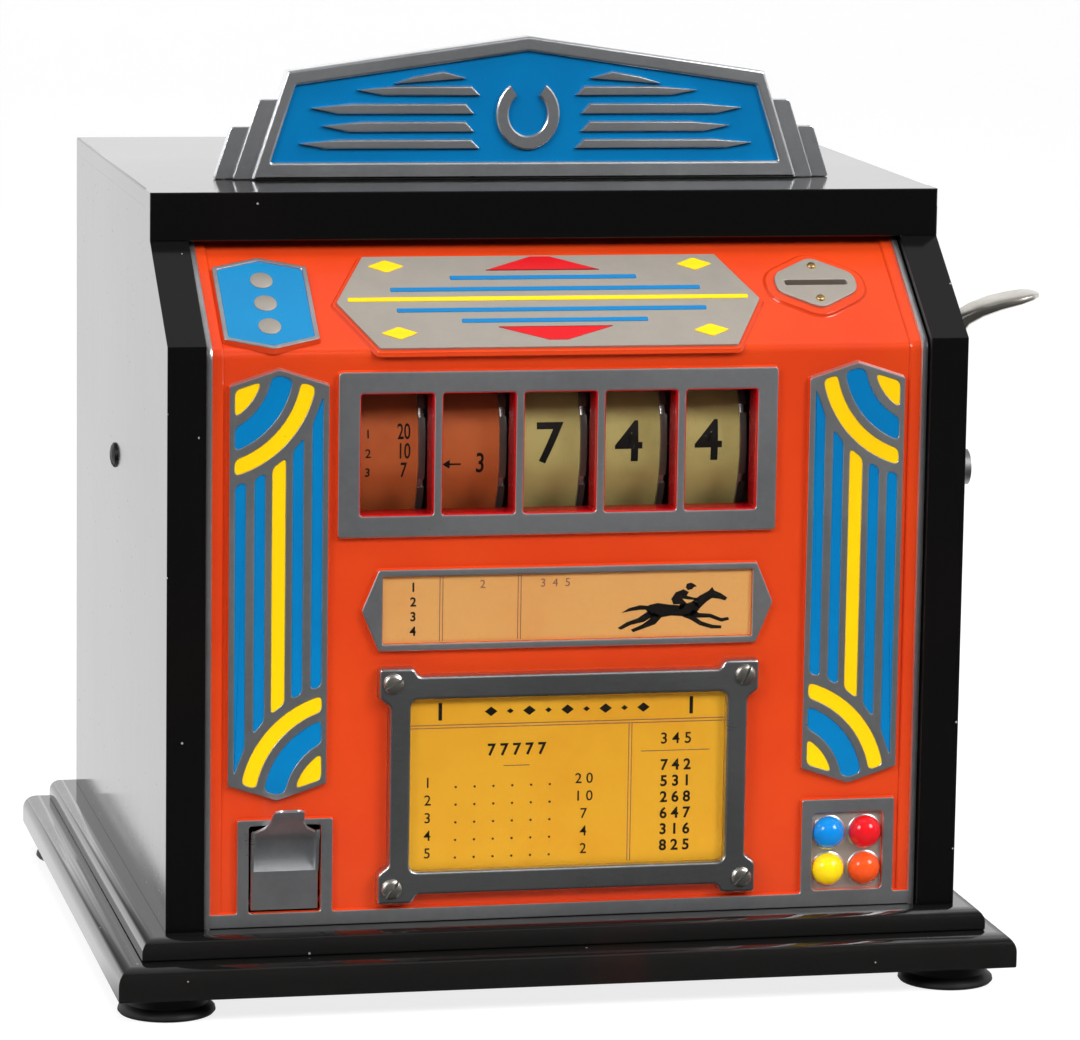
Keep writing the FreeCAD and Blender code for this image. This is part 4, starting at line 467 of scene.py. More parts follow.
# Cast front, rims: a polished rim runs up both sides and round the bend, with a lower orange
# shoulder inside it. They are cast in one with the sheet.
def swept(shape, section, stations, material=0):
    """Adds a moulding of one cross section, given across and above the ground, along the front."""
    loops = []
    for station in stations:
        corners = [shape.verts.new(along_front(x, height, station)) for x, height in section]
        loops.append([shape.edges.new(pair) for pair in zip(corners, corners[1:] + corners[:1])])
    for loop, following in zip(loops, loops[1:]):
        for face in bmesh.ops.bridge_loops(shape, edges=loop + following)["faces"]:
            face.material_index = material
    for loop in (loops[0], loops[-1]):
        for face in bmesh.ops.contextual_create(shape, geom=loop)["faces"]:
            face.material_index = material


RUN = [("z", SHEET_LOW)] + BEND + [("s", top_of_slope(FLAT) - 0.2)]
rims = bmesh.new()
for way in (-1, 1):
    rim_section = [(121.3, -5.2), (121.45, -3.5), (121.7, -3.12), (122.1, -3), (123.2, -3),
                   (123.55, -3.15), (SHEET_HALF, -3.5), (SHEET_HALF, -5.2)]
    shoulder = [(117.4, -5.2), (117.7, -4.55), (118.2, -4.2), (121.6, -4.1), (121.6, -5.2)]
    swept(rims, [(x * way, height) for x, height in rim_section], RUN, 0)
    swept(rims, [(x * way, height) for x, height in shoulder], RUN, 1)
set_down("front_rims", rims, MM, "cabinet", [bare, orange], 30)


# Cast front, bottom rim with the gum mouth's frame at its left and the emblem's frame at its
# right: ground flat and buffed, with orange walls.
def grown(points, distance):
    """An outline moved outwards all round, or inwards for a negative distance."""
    area = sum(a[0] * b[1] - a[1] * b[0] for a, b in zip(points, points[1:] + points[:1]))
    sign = distance if area > 0 else -distance
    moved = []
    for index, here in enumerate(points):
        before, after = Vector(points[index - 1]), Vector(points[(index + 1) % len(points)])
        first = (Vector(here) - before).normalized()
        second = (after - Vector(here)).normalized()
        normal = Vector((first.y + second.y, -first.x - second.x))
        reach = sign / max(0.35, (1 + first.dot(second)) / 2) / 2
        moved.append(tuple(Vector(here) + normal * reach))
    return moved


def outlined(points, rounding=0.0, cuts=(), steps=5):
    """An outline trimmed by cutting lines, each a point and an outward normal, then rounded."""
    shape = bmesh.new()
    shape.faces.new([shape.verts.new((x, y, 0)) for x, y in points])
    for (x, y), (across_x, across_y) in cuts:
        geometry = shape.verts[:] + shape.edges[:] + shape.faces[:]
        bmesh.ops.bisect_plane(shape, geom=geometry, plane_co=(x, y, 0), plane_no=(across_x, across_y, 0),
                               clear_outer=True, dist=1e-5)
    shape.faces.ensure_lookup_table()
    line = [loop.vert.co.xy.copy() for loop in shape.faces[0].loops]
    shape.free()
    if not rounding:
        return [tuple(point) for point in line]
    count = len(line)
    turns = [(line[i] - line[i - 1]).angle(line[(i + 1) % count] - line[i], 0) for i in range(count)]
    corners = [i for i in range(count) if turns[i] > math.radians(20)]

    def walk(start, way, other):
        """The point at the rounding's reach along the outline, and the last corner passed."""
        here, step = start, start
        span = 0.0
        while step != other:
            span += (line[(step + way) % count] - line[step]).length
            step = (step + way) % count
        left = min(rounding, span * 0.48)
        while (line[(here + way) % count] - line[here]).length < left:
            left -= (line[(here + way) % count] - line[here]).length
            here = (here + way) % count
        return line[here] + (line[(here + way) % count] - line[here]).normalized() * left, here

    result = []
    for index, corner in enumerate(corners):
        before, following = corners[index - 1], corners[(index + 1) % len(corners)]
        start = walk(corner, -1, before)[0]
        end, end_at = walk(corner, 1, following)
        for step in range(steps + 1):
            part = step / steps
            point = start.lerp(line[corner], part).lerp(line[corner].lerp(end, part), part)
            result.append(tuple(point))
        last_at = walk(following, -1, corner)[1]
        here = (end_at + 1) % count
        while here != last_at:
            result.append(tuple(line[here]))
            here = (here + 1) % count
    return result


def raised(shape, outer, holes=(), low=FIELD - 0.2, high=FLAT, draft=0.7, edge=0.3, wall=0, top=0,
           floor=None):
    """Adds a pad with sloping walls and rounded edges. Its holes go through, or down to a floor."""
    steps = [(draft, low, wall), (0, high - edge, wall), (-edge * 0.12, high - edge * 0.45, top),
             (-edge * 0.45, high - edge * 0.12, top), (-edge, high - 0.002, top), (-edge - 0.12, high, top)]
    feet, rims = [], []
    for loop, way in [(outer, 1)] + [(hole, -1) for hole in holes]:
        rings = []
        for outward, height, material in steps:
            if way < 0 and outward > 0:
                outward *= 0.3
            if way < 0 and height == low and floor is not None:
                height = floor
            corners = [shape.verts.new((x, y, height)) for x, y in grown(loop, outward * way)]
            rings.append([shape.edges.new(pair) for pair in zip(corners, corners[1:] + corners[:1])])
        for ring, following, (outward, height, material) in zip(rings, rings[1:], steps[1:]):
            for face in bmesh.ops.bridge_loops(shape, edges=ring + following)["faces"]:
                face.material_index = material
        feet.append(rings[0])
        rims.append(rings[-1])
    for loops, material, through in ((feet, wall, floor is None), (rims, top, True)):
        made = []
        if through and holes:
            made = bmesh.ops.triangle_fill(shape, use_beauty=True, use_dissolve=False, normal=(0, 0, 1),
                                           edges=sum(loops, []))["geom"]
        else:
            for loop in loops:
                made += bmesh.ops.contextual_create(shape, geom=loop)["faces"]
        for part in made:
            if isinstance(part, bmesh.types.BMFace):
                part.material_index = material


def box_outline(left, right, low, high, rounding=0.0):
    """A rectangle with rounded corners."""
    return outlined([(left, low), (right, low), (right, high), (left, high)], rounding)


RIM_END, RIM_LOW, RIM_TOP = 122.6, 28.1, 32.8
foot_rim = [(-RIM_END, RIM_LOW), (RIM_END, RIM_LOW), (RIM_END, RIM_TOP), (115.8, RIM_TOP), (115.8, 65.7),
            (83, 65.7), (83, RIM_TOP), (-80.1, RIM_TOP), (-80.1, 64.9), (-112.5, 64.9), (-112.5, RIM_TOP),
            (-RIM_END, RIM_TOP)]
mouth = box_outline(-108.6, -84.0, RIM_TOP, 62.9, 1.2)
emblem_hole = box_outline(86.9, 111.9, 33.8, 61.2, 1.8)
foot = bmesh.new()
raised(foot, outlined(foot_rim, 0.9), [mouth, emblem_hole], wall=1, draft=0.55, edge=0.35)
set_down("foot_rim_and_frames", foot, UPRIGHT, "cabinet", [bare, orange], 30)

# Gum emblem: a satin field with four half-round gumballs cast on it and enamelled, each in a
# thin bright ring of bare metal.
satin = polished("satin_aluminium", (0.52, 0.47, 0.41, 1), (0.45, 0.41, 0.36, 1), 0.36, 0.3, 0.7)
emblem = bmesh.new()
raised(emblem, box_outline(86.5, 112.3, 33.4, 61.6, 1.8), low=-5.6, high=-4.6, draft=0, edge=0.1)
set_down("emblem_field", emblem, UPRIGHT, "cabinet", [satin], 30)
bright_orange = enamel("gum_orange_enamel", (0.86, 0.10, 0.012, 1), (0.78, 0.07, 0.010, 1), 0.08, 0.05)
gum_blue = enamel("gum_blue_enamel", (0.003, 0.24, 0.66, 1), (0.002, 0.20, 0.6, 1), 0.08, 0.05)
gum_red = enamel("gum_red_enamel", (0.72, 0.010, 0.016, 1), (0.62, 0.006, 0.012, 1), 0.08, 0.05)
gum_yellow = enamel("gum_yellow_enamel", (0.98, 0.70, 0.006, 1), (0.94, 0.62, 0.006, 1), 0.08, 0.05)
BALL, BALL_TALL = 5.65, 5.2
DOME = [(BALL * math.cos(math.radians(a)), BALL_TALL * math.sin(math.radians(a))) for a in range(0, 90, 9)]
for dome_name, x, z, colour in (("blue", 92.9, 53.9, gum_blue), ("red", 105.8, 53.9, gum_red),
                                ("yellow", 92.9, 41.1, gum_yellow), ("orange", 105.8, 41.1, bright_orange)):
    ball = bmesh.new()
    profile = [(0, -0.3), (BALL, -0.3)] + DOME + [(0, BALL_TALL)]
    turned(ball, profile, Matrix.Translation((x, z, -4.7)))
    set_down("gumball_" + dome_name, ball, UPRIGHT, "cabinet", [colour], 60)
    ring = bmesh.new()
    turned(ring, [(5.5, -0.4), (6.25, -0.2), (6.05, 0.25), (5.6, 0.35), (5.5, -0.4)],
           Matrix.Translation((x, z, -4.6)))
    set_down("gumball_ring_" + dome_name, ring, UPRIGHT, "cabinet", [bare], 60)

# Reel frame: a heavy buffed frame with five windows. Their walls are cast with draft and are
# painted red down to the glass.
REEL_MIDDLE, REEL_PITCH, HALF_WINDOW = -3.8, 27.8, 12.6
REEL_X = [REEL_MIDDLE + REEL_PITCH * number for number in (-2, -1, 0, 1, 2)]
window_outlines = [box_outline(x - HALF_WINDOW, x + HALF_WINDOW, 167.3, 208.7, 1.3) for x in REEL_X]
reel_frame = bmesh.new()
raised(reel_frame, box_outline(-79.3, 71.3, 160.1, 215.9, 1.6), window_outlines, wall=1, draft=0.6, edge=0.45)
set_down("reel_frame", reel_frame, UPRIGHT, "cabinet", [bare, orange], 30)
walls = bmesh.new()
for window in window_outlines:
    loops = []
    for shrink, height in ((0.0, -3.25), (0.1, -3.8), (0.8, -11.0)):
        corners = [walls.verts.new((x, z, height)) for x, z in grown(window, -shrink)]
        loops.append([walls.edges.new(pair) for pair in zip(corners, corners[1:] + corners[:1])])
    for loop, following in zip(loops, loops[1:]):
        bmesh.ops.bridge_loops(walls, edges=loop + following)
window_walls = set_down("window_walls", walls, UPRIGHT, "cabinet", [red], 40)
skin = window_walls.modifiers.new("skin", "SOLIDIFY")
skin.thickness = 0.0004
skin.offset = 0

# Pilasters: tall six-sided panels at both sides, buffed, with sunk cells filled with blue and
# yellow enamel: quarter rings at two corners and five stripes between them.
PILASTER = [(0, -72.8), (16.7, -67.4), (16.7, 67.4), (0, 72.8), (-16.7, 67.4), (-16.7, -67.4)]
PILASTER_X, PILASTER_Z = -99.15, 144.3
ARC_OUT, ARC_UP, ARC_REACH = 25, 73.8, 40.9


def border_cuts(points):
    """Cutting lines along an outline's sides."""
    cuts = []
    for here, after in zip(points, points[1:] + points[:1]):
        cuts.append((here, (after[1] - here[1], here[0] - after[0])))
    return cuts


def sector(inside, outside):
    """A quarter ring beyond the upper left corner, as a plain outline."""
    angles = [math.radians(a) for a in range(-100, 11, 5)]
    far = [(-ARC_OUT + outside * math.cos(a), ARC_UP + outside * math.sin(a)) for a in angles]
    if not inside:
        return far + [(-ARC_OUT, ARC_UP)]
    return far + [(-ARC_OUT + inside * math.cos(a), ARC_UP + inside * math.sin(a)) for a in reversed(angles)]


def stripe(x, half):
    """A stripe's outline and the two chords that end it at the quarter rings."""
    def on_ring(across):
        reach = across + ARC_OUT
        return ARC_UP - math.sqrt(max(0.0, ARC_REACH ** 2 - reach ** 2))
    low, high = (x - half, on_ring(x - half)), (x + half, on_ring(x + half))
    chord = (high[0] - low[0], high[1] - low[1])
    other_low, other_high = (x - half, -on_ring(half - x)), (x + half, -on_ring(-x - half))
    other = (other_high[0] - other_low[0], other_high[1] - other_low[1])
    outline = [(x - half, -80), (x + half, -80), (x + half, 80), (x - half, 80)]
    return outline, [(low, (-chord[1], chord[0])), (other_low, (other[1], -other[0]))]


cell_border = border_cuts(grown(PILASTER, -1.8))
upper_cells = [(outlined(sector(0, 19.4), 2.0, cell_border), "yellow"),
               (outlined(sector(22.6, 29.7), 2.0, cell_border), "blue"),
               (outlined(sector(32.6, 37.7), 2.0, cell_border), "yellow")]
cells = upper_cells + [([(-x, -y) for x, y in points], colour) for points, colour in upper_cells]
for x, half, colour in ((-12.9, 1.8, "blue"), (-6.4, 1.8, "blue"), (0, 2.25, "yellow"), (6.4, 1.8, "blue"),
                        (12.9, 1.8, "blue")):
    outline, chords = stripe(x, half)
    cells.append((outlined(outline, 1.8, cell_border + chords), colour))


def in_place(points, way):
    """Points of the left pilaster on the front, mirrored for the right one."""
    return [((PILASTER_X + x) * way, PILASTER_Z + y) for x, y in points]


for way, pilaster_name in ((1, "left"), (-1, "right")):
    panel = bmesh.new()
    raised(panel, outlined(in_place(PILASTER, way), 0.5), [in_place(points, way) for points, colour in cells],
           wall=1, draft=0.6, edge=0.25, floor=-4.8)
    for face in panel.faces:
        centre = face.calc_center_median()
        if face.material_index == 1 and abs(centre.x - PILASTER_X * way) < 16.2 and centre.z > FIELD:
            face.material_index = 0
    set_down("pilaster_" + pilaster_name, panel, UPRIGHT, "cabinet", [bare, orange], 30)
    for colour, finish in (("blue", blue), ("yellow", yellow)):
        fill = bmesh.new()
        for points, own in cells:
            if own == colour:
                raised(fill, in_place(points, way), low=-4.95, high=-3.3, draft=0, edge=0.06)
        set_down("pilaster_%s_%s" % (pilaster_name, colour), fill, UPRIGHT, "cabinet",
                 [finish], 50)

# Shield on the slope: a six-sided boss with a thin bare rim round pale blue enamel. Three round
# pips stand on it, one above another.
shield_corners = [(-101.1, 2.2), (-85.1, 7), (-85.1, 42.6), (-101.1, 47.2), (-117.1, 42.6), (-117.1, 7)]
shield = bmesh.new()
raised(shield, outlined(shield_corners, 0.8), [outlined(grown(shield_corners, -1.5), 0.8)], wall=1, edge=0.3,
       floor=-4.8)
set_down("shield_rim", shield, SLOPE, "cabinet", [bare, orange], 30)
shield_fill = bmesh.new()
raised(shield_fill, outlined(grown(shield_corners, -1.45), 1.2), low=-4.95, high=-3.4, draft=0, edge=0.25)
set_down("shield_enamel", shield_fill, SLOPE, "cabinet", [pale_blue], 30)
pips = bmesh.new()
for s in (13.4, 24.7, 36.0):
    turned(pips, [(0, -0.4), (3.9, -0.4), (3.8, 0.25), (3.5, 0.42), (0, 0.45)],
           Matrix.Translation((-101.1, s, -3.4)))
set_down("shield_pips", pips, SLOPE, "cabinet", [satin], 30)

# Striped plate: a separate satin plate on a slightly larger orange pad, with bars, triangles and
# diamonds of thick printed enamel.
plate_corners = [(-77.2, 24.4), (-65.4, 1.7), (57.0, 1.7), (68.8, 24.4), (57.0, 47.1), (-65.4, 47.1)]
pad = bmesh.new()
raised(pad, outlined(grown(plate_corners, 1.3), 1.2), high=-4.0, draft=0.7, edge=0.3)
set_down("striped_plate_pad", pad, SLOPE, "cabinet", [orange], 30)
plate = bmesh.new()
raised(plate, outlined(plate_corners, 0.5), low=-4.0, high=-3.0, draft=0, edge=0.15)
set_down("striped_plate", plate, SLOPE, "cabinet", [satin], 30, ["stripe_plate"])
print_blue, print_yellow, print_red = bmesh.new(), bmesh.new(), bmesh.new()


def bar(shape, left, right, s, half):
    """Adds one printed bar with slightly rounded ends."""
    raised(shape, box_outline(left, right, s - half, s + half, half * 0.5), low=-3.02, high=-2.8, draft=0,
           edge=0.08)


for s, reach, lean in ((36.0, 32.3, -0.4), (30.3, 53.5, -0.4), (20.0, 53.3, 0.2), (14.6, 32.0, 0.2)):
    bar(print_blue, -4.2 - reach + lean, -4.2 + reach + lean, s, 0.95)
bar(print_yellow, -73.2, 64.8, 25.5, 1.0)
for x in (-58.0, 49.0):
    for s in (42.0, 8.8):
        raised(print_yellow, outlined([(x - 6.3, s), (x, s - 3.1), (x + 6.3, s), (x, s + 3.1)], 0.7),
               low=-3.02, high=-2.75, draft=0, edge=0.12)
for base, peak in ((39.6, 46.4), (11.4, 4.9)):
    raised(print_red, outlined([(-24.2, base), (15.6, base), (-1.0, peak), (-7.6, peak)], 0.5),
           low=-3.02, high=-2.8, draft=0, edge=0.08)
for colour, shape, finish in (("blue", print_blue, blue), ("yellow", print_yellow, yellow),
                              ("red", print_red, red)):
    set_down("striped_plate_" + colour, shape, SLOPE, "cabinet", [finish], 50)

# Coin plate: a satin steel plate with a long slot, on a soft raised surround, held by two small
# round brass screws.
coin_corners = [(90.1, 19.4), (104.4, 28.2), (104.4, 36.6), (90.1, 45.2), (75.9, 36.6), (75.9, 28.2)]
coin_outline = outlined(coin_corners, 3.4, steps=6)
surround = bmesh.new()
slot_outline = box_outline(79.2, 101.1, 31.0, 33.6, 0.9)
raised(surround, grown(coin_outline, 3.2), [grown(slot_outline, 1.3)], high=-4.0, draft=1.2, edge=0.7)
set_down("coin_surround", surround, SLOPE, "cabinet", [orange], 60)
coin_plate = bmesh.new()
raised(coin_plate, coin_outline, [slot_outline], low=-9.0, high=-3.0, draft=0, edge=0.3)
set_down("coin_plate_satin", coin_plate, SLOPE, "cabinet", [satin], 30, ["coin_plate"])
brass = polished("brass", (0.72, 0.48, 0.2, 1), (0.5, 0.32, 0.12, 1), 0.25)
coin_screws = bmesh.new()
for s in (24.1, 40.5):
    turned(coin_screws, [(0, -4), (1, -4), (1, -0.1), (1.5, 0), (1.35, 0.5), (0.8, 0.8), (0, 0.85)],
           Matrix.Translation((90.2, s, -3.0)), 24)
set_down("coin_plate_brass_screws", coin_screws, SLOPE, "cabinet", [brass], 50,
         ["coin_plate_screws"])

# Odds strip: a low six-sided frame with pointed ends round a sunk paper strip under a clear
# cover. It is ruled in three and has a running horse and plain figures.
strip_frame = bmesh.new()
strip_corners = [(-71, 135.2), (-65.2, 121.4), (65.2, 121.4), (71, 135.2), (65.2, 149), (-65.2, 149)]
strip_window = box_outline(-63.8, 63.8, 123.7, 146.7, 0.6)
raised(strip_frame, outlined(strip_corners, 0.8), [strip_window], wall=1, draft=0.6, edge=0.5)
set_down("strip_frame", strip_frame, UPRIGHT, "cabinet", [bare, orange], 30)


def paper(name, colour, stain, fleck=0.5):
    """Printed paper that has yellowed: mottled colour, fibres and a few stains."""
    material, surface, wire = new_finish(name, specular_ior_level=0.3)
    place = wire.make("TexCoord", output="Object")
    stains = noise(wire, place, 30.0, 6.0, 0.6)
    fibre = noise(wire, stretched(wire, place, (700.0, 700.0, 220.0)), 3.0, 3.0)
    tone = stains.step(0.42, 0.75).blend(colour, stain)
    (fibre.step(0.5, 0.85) * fleck * 0.4).blend(tone, (0.3, 0.16, 0.06, 1)).into(surface.inputs["Base Color"])
    (0.5 + stains * 0.25).into(surface.inputs["Roughness"])
    bumped(wire, surface, fibre, 0.15)
    return material


def ink_of(name, colour):
    """Letterpress ink, thin in places."""
    material, surface, wire = new_finish(name, specular_ior_level=0.4)
    place = wire.make("TexCoord", output="Object")
    thin = noise(wire, place, 800.0, 4.0).step(0.55, 0.9)
    thin.blend(colour, tuple(min(1, part * 3 + 0.03) for part in colour[:3]) + (1,)).into(
        surface.inputs["Base Color"])
    (0.4 + thin * 0.3).into(surface.inputs["Roughness"])
    return material


def finished(node, material):
    """Gives a carried-over CAD piece its finish."""
    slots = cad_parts[node].data.materials
    slots.clear()
    slots.append(material)


ink = ink_of("black_ink", (0.012, 0.009, 0.008, 1))
faded_ink = ink_of("faded_ink", (0.30, 0.12, 0.09, 1))
strip_paper = paper("strip_paper", (0.98, 0.50, 0.16, 1), (0.94, 0.43, 0.13, 1))
finished("odds_card", strip_paper)
thin_glass = bpy.data.materials.new("thin_glass")
thin_glass.use_nodes = True
glass_wire = Wire(thin_glass.node_tree)
glass_place = glass_wire.make("TexCoord", output="Object")
glass_gloss = glass_wire.make("BsdfGlossy", inputs={"Roughness": 0.02})
ripple = glass_wire.make("Bump", inputs={"Height": noise(glass_wire, glass_place, 30.0), "Strength": 0.04})
ripple.into(glass_gloss.socket.node.inputs["Normal"])
clear = glass_wire.make("BsdfTransparent", inputs={"Color": (0.985, 0.99, 0.985, 1)})
mirror = glass_wire.make("Fresnel", inputs={"IOR": 1.22})
glass_mix = glass_wire.make("MixShader", inputs={0: mirror, 1: clear, 2: glass_gloss})
glass_mix.into(thin_glass.node_tree.nodes["Material Output"].inputs["Surface"])
finished("reel_glass", thin_glass)
for pane, low, high in (("odds_cover", (-63.7, -115.8, 123.8), (63.7, -115.5, 146.6)),
                        ("card_glass", (-56.4, -116.5, 43.4), (57.6, -115.5, 107.2))):
    set_down(pane + "_pane", board(low, high), MM, "cabinet", [thin_glass], 30, [pane])


def printed(shape, words, x, y, size, height, bold=0.0, squeeze=1.0):
    """Adds plain printed figures centred on a point."""
    curve = bpy.data.curves.new("figures", "FONT")
    curve.body = words
    curve.size = size
    curve.align_x = "CENTER"
    curve.align_y = "CENTER"
    curve.offset = bold
    curve.extrude = 0.02
    thing = bpy.data.objects.new("figures", curve)
    bpy.context.scene.collection.objects.link(thing)
    mesh = bpy.data.meshes.new_from_object(thing.evaluated_get(bpy.context.evaluated_depsgraph_get()))
    bpy.data.objects.remove(thing)
    bpy.data.curves.remove(curve)
    known = set(shape.verts)
    shape.from_mesh(mesh)
    bpy.data.meshes.remove(mesh)
    new = [corner for corner in shape.verts if corner not in known]
    bmesh.ops.scale(shape, vec=(squeeze, 1, 1), verts=new)
    bmesh.ops.translate(shape, vec=(x, y, height), verts=new)


def inked(shape, points, height):
    """Adds one flat printed shape."""
    face = shape.faces.new([shape.verts.new((x, y, height)) for x, y in points])
    face.normal_update()
    if face.normal.z < 0:
        face.normal_flip()


def rule(shape, left, right, low, high, height):
    """Adds one printed rule."""
    inked(shape, [(left, low), (right, low), (right, high), (left, high)], height)


HORSE = (
    ((27, 27), (30, 32), (38, 34), (48, 32), (58, 31), (68, 34), (74, 33), (76, 27), (72, 21), (62, 19),
     (50, 20), (40, 18), (32, 20)),
    ((68, 34), (76, 41), (84, 46), (87, 50), (89, 46), (95, 43), (101, 38), (99, 35), (93, 37), (87, 38),
     (82, 34), (76, 27)),
    ((30, 31), (22, 32), (12, 29), (5, 24), (14, 26), (22, 27), (28, 27)),
    ((30, 26), (34, 20), (26, 14), (14, 11), (5, 6), (2, 8), (10, 14), (20, 18)),
    ((34, 24), (42, 19), (36, 11), (26, 7), (16, 3), (14, 6), (24, 11), (31, 17)),
    ((70, 26), (76, 22), (86, 21), (96, 16), (102, 17), (103, 14), (96, 12), (85, 17), (74, 17), (66, 20)),
    ((64, 22), (70, 20), (78, 13), (88, 9), (96, 8), (96, 5), (87, 5), (76, 9), (68, 15), (60, 19)),
    ((52, 32), (50, 38), (54, 45), (61, 48), (66, 45), (64, 41), (70, 39), (75, 38), (74, 36), (65, 37),
     (60, 38), (64, 33), (60, 26), (57, 27), (58, 32)),
    ((63, 50), (64, 54), (68, 55), (71, 53), (73, 51), (70, 50), (69, 48), (65, 47)))
strip_print, strip_faded = bmesh.new(), bmesh.new()
INK_AT = FIELD + 0.34
for outline in HORSE:
    inked(strip_print, [(16.5 + x * 0.385, 124.6 + y * 0.32) for x, y in outline], INK_AT)
for number, z in enumerate((142.6, 137.6, 132.6, 127.6)):
    printed(strip_print, str(number + 1), -53.2, z, 4.3, INK_AT, 0.1)
printed(strip_faded, "2", -29.5, 143.2, 4.0, INK_AT)
printed(strip_faded, "3  4  5", -4.5, 143.2, 4.0, INK_AT)
for x in (-43.6, -16.8):
    for side in (-0.5, 0.5):
        rule(strip_faded, x + side - 0.13, x + side + 0.13, 124.2, 146.2, INK_AT)
set_down("strip_print", strip_print, UPRIGHT, "cabinet", [ink], 60)
set_down("strip_faded_print", strip_faded, UPRIGHT, "cabinet", [faded_ink], 60)

# Card frame: a cast and buffed frame with an ear at each corner, where slotted screws hold it.
# It clamps the printed card and its glass.
ears = [(52.1, 37.5), (53.9, 40.4), (65.5, 40.4), (65.5, 30.2), (61.8, 27.4)]
ring_corners = ears + [(x, -y) for x, y in reversed(ears)]
ring_corners += [(-x, -y) for x, y in ears] + [(-x, y) for x, y in reversed(ears)]
CARD = (0.6, 75.3)
card_outline = [(CARD[0] + x, CARD[1] + y) for x, y in reversed(ring_corners)]
card_hole = box_outline(CARD[0] - 54.8, CARD[0] + 54.8, CARD[1] - 29.7, CARD[1] + 29.7, 3.0)
card_frame = bmesh.new()
raised(card_frame, outlined(card_outline, 1.2), [card_hole], low=FIELD, high=-0.9, draft=0.35, edge=0.9)
mirror_metal = polished("mirror_aluminium", (0.74, 0.75, 0.76, 1), (0.46, 0.465, 0.47, 1), 0.16, 0.25)
set_down("card_frame_buffed", card_frame, UPRIGHT, "cabinet", [mirror_metal], 40,
         ["card_frame"])
card_screws = bmesh.new()
nickel = polished("nickel", (0.72, 0.69, 0.63, 1), (0.5, 0.47, 0.42, 1), 0.2)
steel = polished("dull_steel", (0.42, 0.42, 0.43, 1), (0.28, 0.28, 0.29, 1), 0.34)
SLOTTED = [(0, -7), (1.8, -7), (1.8, -0.2), (3.5, 0), (3.5, 0.5), (3.1, 1.0), (2.2, 1.3), (0, 1.45)]


def joined(shape, other):
    """Adds another drawing to a shape and frees it."""
    loose = bpy.data.meshes.new("loose")
    other.to_mesh(loose)
    other.free()
    shape.from_mesh(loose)
    bpy.data.meshes.remove(loose)


def slotted(shape, place, angle, profile, slot_wide=0.9, floor=0.25):
    """Adds a screw with a slot sawn across its head, down to a floor."""
    head = bmesh.new()
    turned(head, profile, Matrix.Identity(4), 36)
    for side in (-1, 1):
        geometry = head.verts[:] + head.edges[:] + head.faces[:]
        bmesh.ops.bisect_plane(head, geom=geometry, plane_co=(0, side * slot_wide / 2, 0), plane_no=(0, 1, 0))
    shallow = floor + 0.05
    for corner in head.verts:
        if corner.co.z > shallow and abs(corner.co.y) < slot_wide / 2 - 0.01:
            corner.co.z = shallow
    floor_faces = [face for face in head.faces if abs(face.calc_center_median().y) < slot_wide / 2
                   and face.calc_center_median().z > shallow]
    cut = bmesh.ops.extrude_face_region(head, geom=floor_faces)["geom"]
    for part in cut:
        if isinstance(part, bmesh.types.BMVert):
            part.co.z = floor
    bmesh.ops.delete(head, geom=[face for face in floor_faces if face.is_valid], context="FACES")
    bmesh.ops.transform(head, matrix=place @ Matrix.Rotation(angle, 4, "Z"), verts=head.verts)
    joined(shape, head)


for x, y, angle in ((-60.2, 110.6, 0.5), (61.4, 110.6, 1.1), (-60.2, 40.0, 0.9), (61.4, 40.0, 0.75)):
    slotted(card_screws, Matrix.Translation((x, y, -0.95)), angle, SLOTTED)
set_down("card_frame_slotted_screws", card_screws, UPRIGHT, "cabinet", [nickel], 40,
         ["card_frame_screws"])

# Rules card: yellow card with a ruled heading, rows of plain figures with dot leaders on the
# left and six rows of three figures in a ruled column on the right.
card_paper = paper("card_paper", (0.98, 0.50, 0.026, 1), (0.93, 0.42, 0.018, 1), 0.35)
finished("rules_card", card_paper)
card_print, card_rules = bmesh.new(), bmesh.new()
CARD_INK = FIELD + 0.34
for x in (-43.5, 43.5):
    printed(card_print, "1", x, 99.6, 8.2, CARD_INK, 0.22)
for number in range(9):
    x = -26 + number * 6.6
    wide = 2.2 if number % 2 == 0 else 1.2
    inked(card_print, [(x - wide, 99.6), (x, 99.6 - wide * 0.75), (x + wide, 99.6), (x, 99.6 + wide * 0.75)],
          CARD_INK)
for z in (94.3, 95.3):
    rule(card_rules, -54, 55.3, z - 0.16, z + 0.16, CARD_INK)
for x in (21.9, 22.9):
    rule(card_rules, x - 0.14, x + 0.14, 46.4, 94.2, CARD_INK)
rule(card_rules, 26.2, 50.2, 84.2, 84.5, CARD_INK)
rule(card_rules, -21.5, -12.5, 80.6, 80.9, CARD_INK)
printed(card_print, "3 4 5", 38.4, 88.4, 5.4, CARD_INK, 0.06)
printed(card_print, "7 7 7 7 7", -17, 86.2, 5.6, CARD_INK, 0.16)
for row, (left, right) in enumerate((("1", "2 0"), ("2", "1 0"), ("3", "7"), ("4", "4"), ("5", "2"))):
    z = 75.4 - row * 6.1
    printed(card_print, left, -47.5, z, 5.0, CARD_INK, 0.03)
    for dot in range(6):
        rule(card_print, -38.2 + dot * 6.5, -37.5 + dot * 6.5, z - 1.9, z - 1.2, CARD_INK)
    printed(card_print, right, 6.5, z, 5.0, CARD_INK, 0.03)
for row, words in enumerate(("7 4 2", "5 3 1", "2 6 8", "6 4 7", "3 1 6", "8 2 5")):
    printed(card_print, words, 38.4, 79.2 - row * 5.6, 5.2, CARD_INK, 0.14)
set_down("card_print", card_print, UPRIGHT, "cabinet", [ink], 60)
set_down("card_rules", card_rules, UPRIGHT, "cabinet", [faded_ink], 60)

